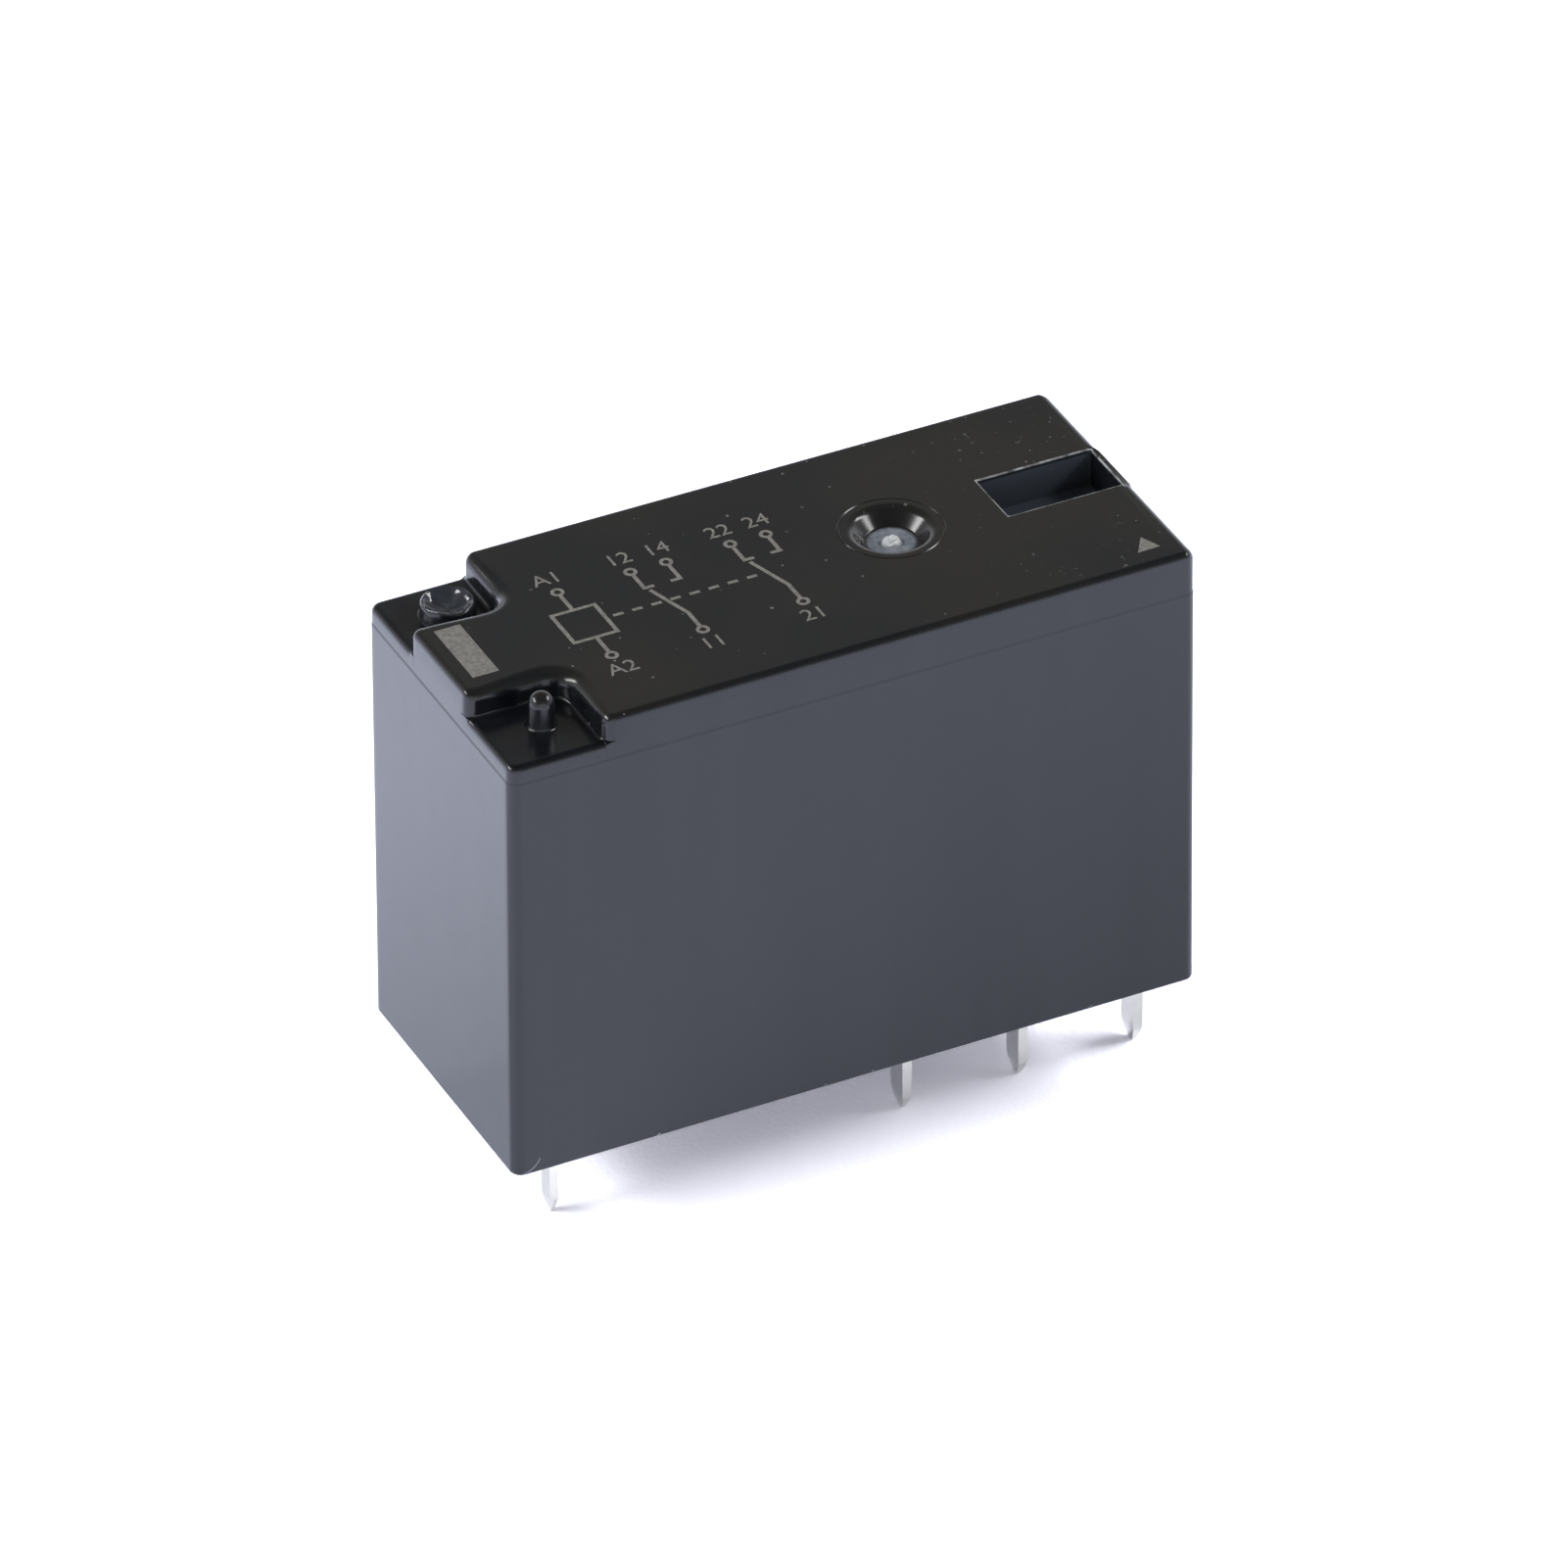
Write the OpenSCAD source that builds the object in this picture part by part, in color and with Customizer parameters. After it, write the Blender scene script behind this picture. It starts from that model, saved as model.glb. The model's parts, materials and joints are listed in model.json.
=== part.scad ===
// Sealed power relay for circuit boards, with two change-over contacts.
// Millimetres, +Z up, +X from the coil end to the contact end. The origin is under the middle of the
// case, at the level of the pin tips. Modules draw from the board level, and seat() lifts them.

/* [Case] */
// Length of the case
case_l = 28.8; // [28.5:0.1:32]
// Width of the case
case_w = 12.6; // [12.4:0.1:15]
// Height of the case above the board
case_h = 19.8; // [19:0.1:24]
// Thickness of the case walls
case_wall = 0.8; // [0.6:0.05:0.9]
// Thickness of the case roof
roof_t = 1; // [0.8:0.05:1.4]
// Radius of the upright case edges
corner_r = 0.45; // [0.3:0.05:1]
// Radius of the top edges
edge_r = 0.28; // [0.15:0.01:0.4]
// Depth of the parting step below the top
parting_drop = 1.85; // [1.5:0.05:3]
// Inset of the case above the parting step
parting_step = 0.06; // [0.03:0.01:0.15]

/* [Corner pockets] */
// Length of the two corner pockets
pocket_l = 3.95; // [3.2:0.05:4.4]
// Width of the two corner pockets
pocket_w = 3.75; // [3:0.05:4.4]
// Depth of the two corner pockets
pocket_depth = 1.1; // [0.6:0.05:1.3]
// Radius of the inner corner of a pocket
pocket_r = 0.9; // [0.5:0.1:1.5]
// Distance from the coil end to the post and the vent boss
post_in_x = 2.33; // [1.7:0.01:2.6]
// Distance from the sides to the post and the vent boss
post_in_y = 2.2; // [1.7:0.01:2.4]
// Diameter of the post
post_d = 1; // [0.6:0.05:1.6]
// Height of the post above the pocket floor
post_h = 1.5; // [0.8:0.05:1.8]
// Diameter of the melted vent boss
vent_d = 2.15; // [1.5:0.05:2.6]
// Height of the vent boss above the pocket floor
vent_h = 0.7; // [0.4:0.05:1]
// Depth of the dish in the vent boss
vent_dish = 0.15; // [0.05:0.01:0.25]

/* [Dimple and slot] */
// Place of the gate dimple along the length
dimple_x = 4.77; // [2:0.01:5.5]
// Place of the gate dimple across the width
dimple_y = 0.36; // [-1:0.01:1]
// Rim diameter of the gate dimple
dimple_d = 3.6; // [2.6:0.1:4.4]
// Depth of the gate dimple
dimple_depth = 0.6; // [0.3:0.05:0.8]
// Slope of the dimple wall in degrees
dimple_slope = 47; // [40:1:60]
// Radius of the rounded rim of the dimple
dimple_edge = 0.5; // [0.2:0.05:0.6]
// Diameter of the gate mark in the dimple
gate_d = 0.7; // [0.4:0.05:1]
// Height of the gate mark
gate_h = 0.15; // [0.05:0.05:0.2]
// Length of the end slot
slot_l = 4.9; // [3:0.1:6]
// Width of the end slot
slot_w = 2.68; // [1.6:0.02:3.4]
// Depth of the end slot
slot_depth = 1.6; // [0.8:0.05:1.9]
// Place of the end slot across the width
slot_y = 0.47; // [-1:0.01:1]
// Thickness of the wall that closes the slot at the end face
slot_end = 0.34; // [0.25:0.01:0.6]
// Drop of that wall below the top
slot_end_drop = 0.1; // [0.05:0.01:0.3]

/* [Footprint] */
// Spacing of the contact pins along the length
pin_pitch = 5; // [4.9:0.01:5.2]
// Distance from the coil end of the case to the coil pins
coil_end = 2.5; // [2:0.01:3]
// Distance between the two rows of pins
row_pitch = 7.5; // [7.2:0.01:8]
// Distance from the contact end of the case to the last pins
pin_end = 1.3; // [1.15:0.01:1.5]
// Length of the pins below the board level
pin_len = 4; // [3:0.1:5]
// Thickness of the contact terminals
term_t = 0.4; // [0.3:0.01:0.45]
// Width of the contact pins
pin_w = 1; // [0.8:0.05:1.3]
// Thickness of the coil pins
coil_pin_t = 0.36; // [0.3:0.02:0.5]
// Width of the coil pins
coil_pin_w = 0.72; // [0.5:0.02:0.9]
// Length of the tapered pin tips
tip_l = 0.7; // [0.4:0.05:1]

/* [Base] */
// Thickness of the base
base_t = 1.6; // [1.4:0.05:2]
// Thickness of the sealing resin
resin_t = 0.5; // [0.3:0.05:0.8]
// Recess of the resin behind the case rim
resin_in = 0.1; // [0.05:0.05:0.3]
// Step in the case wall that the base rests against
ledge = 0.2; // [0.1:0.05:0.3]
// Thickness of the barrier between coil and contacts
barrier_t = 0.8; // [0.6:0.05:1.2]
// Distance from the barrier to the contact terminals
barrier_gap = 1.7; // [1.2:0.05:2]
// Thickness of the partition between the poles
partition_t = 0.8; // [0.5:0.05:1]

/* [Magnet] */
// Room between the pole face and the roof
head_room = 3; // [2.6:0.05:3.6]
// Core diameter as a share of the winding's
core_share = 0.43; // [0.35:0.01:0.48]
// Diameter of the pole head as a share of the winding's
pole_share = 0.69; // [0.55:0.01:0.75]
// Thickness of the pole head
pole_t = 0.7; // [0.5:0.05:1]
// Thickness of the yoke
iron_t = 1.2; // [1:0.05:1.3]
// Width of the yoke
yoke_w = 9.2; // [8:0.1:10]
// Wall thickness of the bobbin tube
tube_t = 0.7; // [0.5:0.05:1]
// Thickness of the bobbin flanges
flange_t = 0.9; // [0.6:0.05:1.2]
// Distance from the bobbin flanges to the case sides
coil_side = 0.3; // [0.1:0.05:0.8]
// Distance from the coil pins to the bobbin flanges
coil_pin_gap = 0.7; // [0.65:0.01:1.1]

/* [Armature and card] */
// Thickness of the armature
arm_t = 1.1; // [0.9:0.05:1.2]
// Width of the armature plate
arm_w = 8.4; // [7:0.1:9]
// Width of the armature tongue
tongue_w = 2.4; // [1.6:0.1:2.8]
// Angle that the armature stands open at rest
open_angle = 4; // [3:0.1:4.2]
// Height of the card
card_h = 1.6; // [1.2:0.1:1.8]
// Width of the card between the poles
card_w = 2; // [1.6:0.1:2.2]
// Height of the push edge of the card
push_h = 0.8; // [0.5:0.05:1]
// Thickness of the hinge spring
hinge_spring_t = 0.15; // [0.1:0.01:0.2]

/* [Contacts] */
// Thickness of the moving springs
spring_t = 0.15; // [0.1:0.01:0.2]
// Width of the springs and the fixed contact plates
blade_w = 3; // [2.6:0.1:3.1]
// Distance from the contact plates to the case sides
blade_side = 0.25; // [0.1:0.01:0.4]
// Width of the terminals inside the base
neck_w = 2.2; // [1.6:0.1:2.4]
// Distance from the pole face down to the contacts
contact_drop = 3.5; // [3.2:0.05:4]
// Distance from the contacts down to the middle of the card
card_drop = 2.5; // [2.3:0.05:3]
// Diameter of the contacts
contact_d = 2.4; // [1.8:0.1:2.8]
// Thickness of the contact heads
contact_t = 0.5; // [0.3:0.05:0.6]
// Crown radius of the contact faces
crown_r = 6; // [4:0.5:10]
// Diameter of the contact rivet shanks
shank_d = 1.2; // [0.8:0.1:1.4]
// Opening of the contacts
contact_gap = 0.5; // [0.4:0.05:0.6]

/* [Clearances] */
// Clearance left between closed contacts
touch_gap = 0.03; // [0.02:0.01:0.05]
// Fit clearance of fixed pieces
fit = 0.03; // [0.02:0.01:0.05]
// Clearance of moving pieces
play = 0.1; // [0.08:0.01:0.12]
// Clearance between a moving spring and its terminal
root_gap = 0.08; // [0.07:0.01:0.12]
// Free travel of the card before it meets the springs
push_gap = 0.14; // [0.13:0.01:0.2]

/* [Hidden] */
$fn = 64;
eps = 0.01;

black = [0.05, 0.05, 0.055];
dark = [0.1, 0.1, 0.11];
resin_c = [0.08, 0.07, 0.06];
cream = [0.85, 0.82, 0.74];
copper = [0.72, 0.38, 0.2];
iron = [0.62, 0.62, 0.6];
tin = [0.78, 0.78, 0.76];
bronze = [0.76, 0.6, 0.36];
silver = [0.88, 0.87, 0.84];

// Case interior
in_x = case_l / 2 - case_wall;
in_y = case_w / 2 - case_wall;
roof_z = case_h - roof_t;
low_x = in_x + ledge;
low_y = in_y + ledge;
resin_z = resin_in + resin_t;
base_z = resin_z + base_t;
top_l = case_l - 2 * parting_step;
top_w = case_w - 2 * parting_step;
floor_z = case_h - pocket_depth;
lower_z = case_h - 2 * parting_drop;
rim_r = min(edge_r, corner_r * 0.9, pocket_r * 0.9);
skin_t = 0.75;

// Footprint, and the plane of the contacts of each pole
no_pin_x = case_l / 2 - pin_end;
com_x = no_pin_x - pin_pitch;
nc_pin_x = com_x - pin_pitch;
coil_pin_x = coil_end - case_l / 2;
row_y = row_pitch / 2;
plate_y = in_y - blade_side - blade_w / 2;
tip_share = 0.16;

// Heights of the magnet, the contacts and the card
pole_z = roof_z - head_room;
pole_gap = 0.05;
hinge_z = pole_z + pole_gap;
contact_z = pole_z - contact_drop;
card_z = contact_z - card_drop;
card_travel = (hinge_z - card_z) * open_angle * PI / 180;
low_flange_z = base_z + iron_t;
top_flange_z = pole_z - pole_t - flange_t;

// Contacts, from the common terminal outwards
rivet_t = 0.2;
tab_rise = 1.4;
tab_h = 2;
flex_z = base_z + tab_rise + tab_h / 2;
spring_x1 = com_x - term_t / 2 - root_gap;
spring_x0 = spring_x1 - spring_t;
nc_x = spring_x0 - 2 * contact_t - touch_gap - term_t / 2;
no_x = spring_x1 + 2 * contact_t + contact_gap + term_t / 2;
run_z = resin_z + fit;
strip_r = 0.3;
bend_n = 8;
shoulder_rise = 0.6;
shoulder_h = 0.3;
shoulder_z = base_z + shoulder_rise;
blade_over = 0.1;
plate_top = contact_z + blade_w / 2 + blade_over;
stud_d = 0.5;
stud_head_d = 0.85;
stud_gap = 1.2;

// Card, armature and yoke, from the contacts back to the coil
push_t = 0.7;
push_in = 0.5;
card_lip = 0.35;
card_web = 0.55;
card_side = 0.6;
card_clear = 0.2;
card_seat = 0.05;
yoke_clear = 0.15;
yoke_gap = 0.2;
yoke_foot = 1;
yoke_r = 0.15;
push_x = spring_x0 - push_gap;
push_w = 2 * (plate_y - push_in);
barrier_x = nc_x - term_t / 2 - rivet_t - barrier_gap - barrier_t;
frame_x1 = barrier_x - card_travel - card_clear;
tongue_x = frame_x1 - card_web - play - arm_t;
tongue_z = card_z - card_h / 2 + card_lip;
yoke_x1 = tongue_x - play - card_lip - yoke_clear;
wall_top = plate_top - blade_over;

// Coil, in the room that is left
block_x1 = coil_pin_x + coil_pin_gap - yoke_gap;
flange_x1 = yoke_x1 - iron_t - yoke_gap;
flange_w = 2 * (in_y - coil_side);
flange_l = min(flange_x1 - block_x1 - yoke_gap, flange_w);
flange_lip = 0.1;
flange_r = 1;
coil_x = flange_x1 - flange_l / 2;
winding_d = flange_l - 2 * flange_lip;
core_d = winding_d * core_share;
pole_d = winding_d * pole_share;
tube_d = core_d + 2 * play + 2 * tube_t;
spigot_in = 0.4;
pin_block = 0.9;
post_rise = 1.2;
lead_t = 0.14;
lead_rise = 0.1;
wrap_h = 0.7;

// Armature bend: the hinge line is the outer top edge of the yoke
bend_r = 0.25;
bend_x = tongue_x - bend_r;
bend_z = hinge_z - (bend_r + (bend_x - yoke_x1) * sin(open_angle)) / cos(open_angle);
hinge_u = (yoke_x1 - bend_x) * cos(open_angle) - (hinge_z - bend_z) * sin(open_angle);
arm_over = 0.4;
heel_in = 0.25;
neck_l = 1;
arm_r = 1;
arm_l = yoke_x1 - coil_x + pole_d / 2 + arm_over;
leaf_gap = 0.18;
leaf_l = 1.6;
leaf_w = 1.3;
leaf_in = 1.1;
leaf_foot = 1;
leaf_band = 1.4;

module seat() {
    translate([0, 0, pin_len]) children();
}

module box(a, b) {
    translate(a) cube(b - a);
}

// Flat outline in X and Z, drawn to the thickness w about the plane y
module side_cut(y, w) {
    translate([0, y + w / 2, 0]) rotate([90, 0, 0]) linear_extrude(w) children();
}

// Flat outline in Y and Z, drawn from x towards +X to the thickness t
module front_cut(x, t) {
    translate([x, 0, 0]) rotate([90, 0, 90]) linear_extrude(t) children();
}

module round_rect(l, w, r) {
    square([l, w - 2 * r], center = true);
    square([l - 2 * r, w], center = true);
    for (x = [-1, 1], y = [-1, 1])
        translate([x * (l / 2 - r), y * (w / 2 - r)]) circle(r);
}

// Outline of the raised top: the main field, the tongue and the round inner corners of the pockets
module top_outline() {
    x0 = pocket_l - case_l / 2;
    y0 = case_w / 2 - pocket_w;
    translate([(x0 + top_l / 2) / 2, 0]) round_rect(top_l / 2 - x0, top_w, corner_r);
    translate([(x0 - top_l / 2) / 2 + corner_r, 0])
        round_rect(x0 + top_l / 2 + 2 * corner_r, 2 * y0, corner_r);
    for (s = [-1, 1]) translate([x0, s * y0]) difference() {
        translate([-pocket_r, s > 0 ? -corner_r : -pocket_r]) square(pocket_r + corner_r);
        translate([-pocket_r, s * pocket_r]) circle(pocket_r);
    }
}

module both_sides() {
    children();
    mirror([0, 1, 0]) children();
}

// Section of what a rounded edge takes away, with the edge at the origin and the wall on the side -X
module edge_section() {
    difference() {
        translate([-rim_r, -rim_r]) square(2 * rim_r);
        translate([-rim_r, -rim_r]) circle(rim_r);
    }
}

// Cutters that round an edge at the height h: straight from a to b, with the wall on the left of the
// way, or a quarter turn about c, from the angle a on, of a round corner (k = 1) or a hollow one (k = -1)
module edge_line(a, b, h) {
    translate([b[0], b[1], h]) rotate([90, 0, atan2(b[1] - a[1], b[0] - a[0]) - 90])
        linear_extrude(norm(b - a)) edge_section();
}

module edge_turn(c, r, a, h, k) {
    translate([c[0], c[1], h]) rotate([0, 0, a]) rotate_extrude(angle = 90) translate([r, 0])
        mirror([k < 0 ? 1 : 0, 0]) edge_section();
}

// Raised top, with one rounding carried along its outline: tongue, pocket walls and sides
module raised_top() {
    c = corner_r;
    x0 = pocket_l - case_l / 2;
    y0 = case_w / 2 - pocket_w;
    x1 = top_l / 2;
    y1 = top_w / 2;
    difference() {
        translate([0, 0, lower_z]) linear_extrude(case_h - lower_z) top_outline();
        edge_line([-x1, y0 - c], [-x1, c - y0], case_h);
        edge_line([x1, c - y1], [x1, y1 - c], case_h);
        both_sides() {
            edge_turn([c - x1, c - y0], c, 180, case_h, 1);
            edge_line([c - x1, -y0], [x0 - pocket_r, -y0], case_h);
            edge_turn([x0 - pocket_r, -y0 - pocket_r], pocket_r, 0, case_h, -1);
            edge_line([x0, -y0 - pocket_r], [x0, c - y1], case_h);
            edge_turn([x0 + c, c - y1], c, 180, case_h, 1);
            edge_line([x0 + c, -y1], [x1 - c, -y1], case_h);
            edge_turn([x1 - c, c - y1], c, 270, case_h, 1);
        }
    }
}

// Block under the pocket floors, rounded along its outer edge beside them
module pocket_block() {
    c = corner_r;
    x1 = top_l / 2;
    y1 = top_w / 2;
    difference() {
        translate([0, 0, lower_z]) linear_extrude(floor_z - lower_z) round_rect(top_l, top_w, c);
        edge_line([-x1, y1 - c], [-x1, c - y1], floor_z);
        both_sides() {
            edge_turn([c - x1, c - y1], c, 180, floor_z, 1);
            edge_line([c - x1, -y1], [pocket_l - case_l / 2 + c, -y1], floor_z);
        }
    }
}

module slot_shape(grow, z0, z1) {
    x1 = top_l / 2 - slot_end;
    box([x1 - slot_l - grow, slot_y - slot_w / 2 - grow, z0], [x1 + grow, slot_y + slot_w / 2 + grow, z1]);
}

module cavity() {
    difference() {
        union() {
            box([-in_x, -in_y, base_z - eps], [in_x, in_y, roof_z]);
            box([-low_x, -low_y, -eps], [low_x, low_y, base_z + fit]);
        }
        for (s = [-1, 1])
            translate([0, s * (case_w / 2 - pocket_w / 2 - skin_t / 2), 0])
                box([-case_l / 2, -(pocket_w + skin_t) / 2, floor_z - skin_t],
                    [pocket_l - case_l / 2 + skin_t, (pocket_w + skin_t) / 2, case_h]);
        slot_shape(skin_t, case_h - slot_depth - skin_t, case_h);
        translate([dimple_x, dimple_y, case_h - dimple_depth - skin_t])
            cylinder(d = dimple_d + skin_t, h = case_h);
    }
}

// Dimple cutter: a cone up to the rounded rim, and round the gate mark that stays in its middle
module dimple() {
    drop = dimple_edge * (1 - cos(dimple_slope));
    cone_h = dimple_depth - drop;
    cone_r = dimple_d / 2 - dimple_edge * sin(dimple_slope);
    translate([dimple_x, dimple_y, case_h - dimple_depth]) difference() {
        union() {
            cylinder(r1 = cone_r - cone_h / tan(dimple_slope), r2 = cone_r, h = cone_h);
            translate([0, 0, cone_h]) rotate_extrude() difference() {
                square([dimple_d / 2, drop + 1]);
                translate([dimple_d / 2, drop - dimple_edge]) circle(dimple_edge);
            }
        }
        translate([0, 0, -1]) cylinder(d = gate_d, h = 1 + gate_h);
    }
}

// Post with a round end
module post() {
    translate([0, 0, -eps]) cylinder(d = post_d, h = post_h - post_d / 2 + eps);
    translate([0, 0, post_h - post_d / 2]) sphere(d = post_d);
}

// Vent boss, melted shut: a low frustum with a dished top
module vent() {
    dish_d = vent_d * 0.8;
    rad = (dish_d * dish_d / 4 + vent_dish * vent_dish) / (2 * vent_dish);
    difference() {
        translate([0, 0, -eps]) cylinder(d1 = vent_d, d2 = vent_d * 0.9, h = vent_h + eps);
        translate([0, 0, vent_h - vent_dish + rad]) sphere(rad);
    }
}

module cover() {
    post_x = post_in_x - case_l / 2;
    post_y = case_w / 2 - post_in_y;
    color(black) {
        difference() {
            union() {
                linear_extrude(case_h - parting_drop) round_rect(case_l, case_w, corner_r);
                pocket_block();
                raised_top();
            }
            slot_shape(0, case_h - slot_depth, case_h + 1);
            box([top_l / 2 - slot_end - eps, slot_y - slot_w / 2, case_h - slot_end_drop],
                [case_l / 2 + 1, slot_y + slot_w / 2, case_h + 1]);
            dimple();
            cavity();
        }
        translate([post_x, -post_y, floor_z]) post();
        translate([post_x, post_y, floor_z]) vent();
    }
}

// Upright slots and channels that the terminals leave in the base, drawn with the clearance c
module terminal_room(c) {
    for (s = [-1, 1]) {
        y = s * row_y;
        box([coil_pin_x - coil_pin_t / 2 - c, y - coil_pin_w / 2 - c, -1],
            [coil_pin_x + coil_pin_t / 2 + c, y + coil_pin_w / 2 + c, base_z + 1]);
        p = s * plate_y;
        box([com_x - term_t / 2 - c, p - neck_w / 2 - c, resin_z - eps],
            [com_x + term_t / 2 + c, p + neck_w / 2 + c, base_z + 1]);
        strip_room(nc_pin_x, nc_x, p, c);
        strip_room(no_pin_x, no_x, p, c);
    }
}

module strip_room(x0, x1, y, c) {
    d = x1 > x0 ? 1 : -1;
    xa = x1 - d * (term_t / 2 + strip_r + c);
    xb = x1 + d * (term_t / 2 + c);
    box([x1 - term_t / 2 - c, y - neck_w / 2 - c, resin_z - eps],
        [x1 + term_t / 2 + c, y + neck_w / 2 + c, base_z + 1]);
    box([min(x0, x1) - term_t / 2 - c, y - neck_w / 2 - c, resin_z - eps],
        [max(x0, x1) + term_t / 2 + c, y + neck_w / 2 + c, run_z + term_t + c]);
    box([min(xa, xb), y - neck_w / 2 - c, resin_z - eps],
        [max(xa, xb), y + neck_w / 2 + c, run_z + term_t + strip_r + c]);
}

module base() {
    z1 = card_z - card_h / 2 - card_seat;
    part_x = push_x + card_travel + card_clear;
    color(dark) difference() {
        union() {
            box([fit - low_x, fit - low_y, resin_z], [low_x - fit, low_y - fit, base_z]);
            box([barrier_x, fit - in_y, base_z - eps], [barrier_x + barrier_t, in_y - fit, wall_top]);
            box([barrier_x, -partition_t / 2, base_z - eps], [in_x - play, partition_t / 2, z1]);
            box([part_x, -partition_t / 2, base_z - eps], [in_x - play, partition_t / 2, wall_top]);
        }
        terminal_room(fit);
        box([barrier_x - 1, -card_w / 2 - play, z1],
            [barrier_x + barrier_t + 1, card_w / 2 + play, wall_top + 1]);
    }
}

module sealing_resin() {
    color(resin_c) difference() {
        box([fit - low_x, fit - low_y, resin_in], [low_x - fit, low_y - fit, resin_z]);
        for (s = [-1, 1], x = [nc_pin_x, com_x, no_pin_x])
            translate([x, s * row_y, 0]) cube([term_t + 2 * fit, pin_w + 2 * fit, pin_len], center = true);
        for (s = [-1, 1])
            translate([coil_pin_x, s * row_y, 0])
                cube([coil_pin_t + 2 * fit, coil_pin_w + 2 * fit, pin_len], center = true);
        for (s = [-1, 1], p = [[nc_pin_x, 1], [no_pin_x, -1]])
            translate([p[0] + p[1] * (strip_r + term_t) / 2, s * row_y, resin_z])
                cube([2 * term_t + strip_r + 2 * fit, pin_w + 2 * fit, 2 * strip_r], center = true);
    }
}

module coil_bobbin() {
    color(cream) difference() {
        union() {
            for (z = [low_flange_z, top_flange_z])
                translate([coil_x, 0, z]) linear_extrude(flange_t) round_rect(flange_l, flange_w, flange_r);
            translate([coil_x, 0, low_flange_z])
                cylinder(d = tube_d, h = top_flange_z - low_flange_z + flange_t);
            box([coil_pin_x - pin_block, -flange_w / 2, base_z],
                [block_x1, flange_w / 2, low_flange_z + flange_t]);
            box([coil_pin_x - pin_block, flange_r - flange_w / 2, low_flange_z],
                [coil_x, flange_w / 2 - flange_r, low_flange_z + flange_t]);
        }
        translate([coil_x, 0, 0]) cylinder(d = core_d + 2 * play, h = case_h);
        for (s = [-1, 1])
            translate([coil_pin_x, s * row_y, base_z])
                cube([coil_pin_t + 2 * fit, coil_pin_w + 2 * fit, case_h], center = true);
    }
}

// Winding with its two ends, each led straight outwards and wrapped round the post of a coil terminal
module coil_winding() {
    z0 = low_flange_z + flange_t + fit;
    wrap_d = sqrt(coil_pin_t * coil_pin_t + coil_pin_w * coil_pin_w) + 2 * fit;
    lead_x = coil_x - coil_pin_x;
    lead_l = sqrt(lead_x * lead_x + row_y * row_y) - winding_d / 2 - wrap_d / 2;
    color(copper) {
        translate([coil_x, 0, z0]) difference() {
            cylinder(d = winding_d, h = top_flange_z - fit - z0);
            translate([0, 0, -1]) cylinder(d = tube_d + 2 * fit, h = case_h);
        }
        for (s = [-1, 1])
            translate([coil_pin_x, s * row_y, z0 + lead_rise]) {
                difference() {
                    cylinder(d = wrap_d + 2 * lead_t, h = wrap_h);
                    translate([0, 0, -1]) cylinder(d = wrap_d, h = wrap_h + 2);
                }
                rotate([0, 90, atan2(-s * row_y, lead_x)]) translate([-wrap_h / 2, 0, (wrap_d + lead_t) / 2])
                    cylinder(d = lead_t, h = lead_l + lead_t);
            }
    }
}

module core() {
    color(iron) {
        translate([coil_x, 0, base_z]) cylinder(d = core_d - 2 * spigot_in, h = iron_t + eps);
        translate([coil_x, 0, low_flange_z]) cylinder(d = core_d, h = pole_z - pole_t - low_flange_z + eps);
        translate([coil_x, 0, pole_z - pole_t]) cylinder(d = pole_d, h = pole_t);
    }
}

module yoke() {
    r = yoke_r;
    x0 = coil_x - core_d / 2 - yoke_foot;
    color(iron) difference() {
        side_cut(0, yoke_w) {
            translate([x0, base_z]) square([yoke_x1 - iron_t - r - x0, iron_t]);
            translate([yoke_x1 - iron_t, base_z + iron_t + r]) square([iron_t, pole_z - base_z - iron_t - r]);
            translate([yoke_x1 - iron_t - r, base_z + iron_t + r]) quarter(r, iron_t, 1, -1);
        }
        translate([coil_x, 0, base_z - 1]) cylinder(d = core_d - 2 * spigot_in + 2 * fit, h = iron_t + 2);
    }
}

// Quarter of a ring, for a bend with the inner radius r, in the quadrant given by the two signs
module quarter(r, t, sx, sy) {
    intersection() {
        difference() {
            circle(r + t);
            circle(r);
        }
        translate([sx > 0 ? 0 : -r - t - 1, sy > 0 ? 0 : -r - t - 1]) square(r + t + 1);
    }
}

module armature() {
    color(iron) {
        box([tongue_x, -tongue_w / 2, tongue_z], [tongue_x + arm_t, tongue_w / 2, bend_z]);
        translate([bend_x, 0, bend_z]) {
            rotate([90, 0, 0]) rotate_extrude(angle = 90 - open_angle)
                translate([bend_r, -tongue_w / 2]) square([arm_t, tongue_w]);
            rotate([0, open_angle, 0]) {
                box([hinge_u - neck_l, -tongue_w / 2, bend_r], [0, tongue_w / 2, bend_r + arm_t]);
                translate([hinge_u - heel_in - arm_l / 2, 0, bend_r]) linear_extrude(arm_t)
                    round_rect(arm_l, arm_w, arm_r);
            }
        }
    }
}

// Leaf fixed to the yoke, with two arms that hold the armature on its edge
module hinge_spring() {
    t = hinge_spring_t;
    x0 = yoke_x1 + fit;
    z0 = contact_z - leaf_foot;
    z1 = hinge_z + arm_t + leaf_gap;
    y0 = tongue_w / 2 + leaf_in;
    color(bronze) {
        box([x0, -y0 - leaf_w, z0], [x0 + t, y0 + leaf_w, z0 + leaf_band]);
        for (s = [-1, 1])
            translate([0, s * (y0 + leaf_w / 2), 0]) {
                box([x0, -leaf_w / 2, z0], [x0 + t, leaf_w / 2, z1 + t]);
                box([x0 - leaf_l, -leaf_w / 2, z1], [x0 + t, leaf_w / 2, z1 + t]);
            }
    }
}

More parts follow.
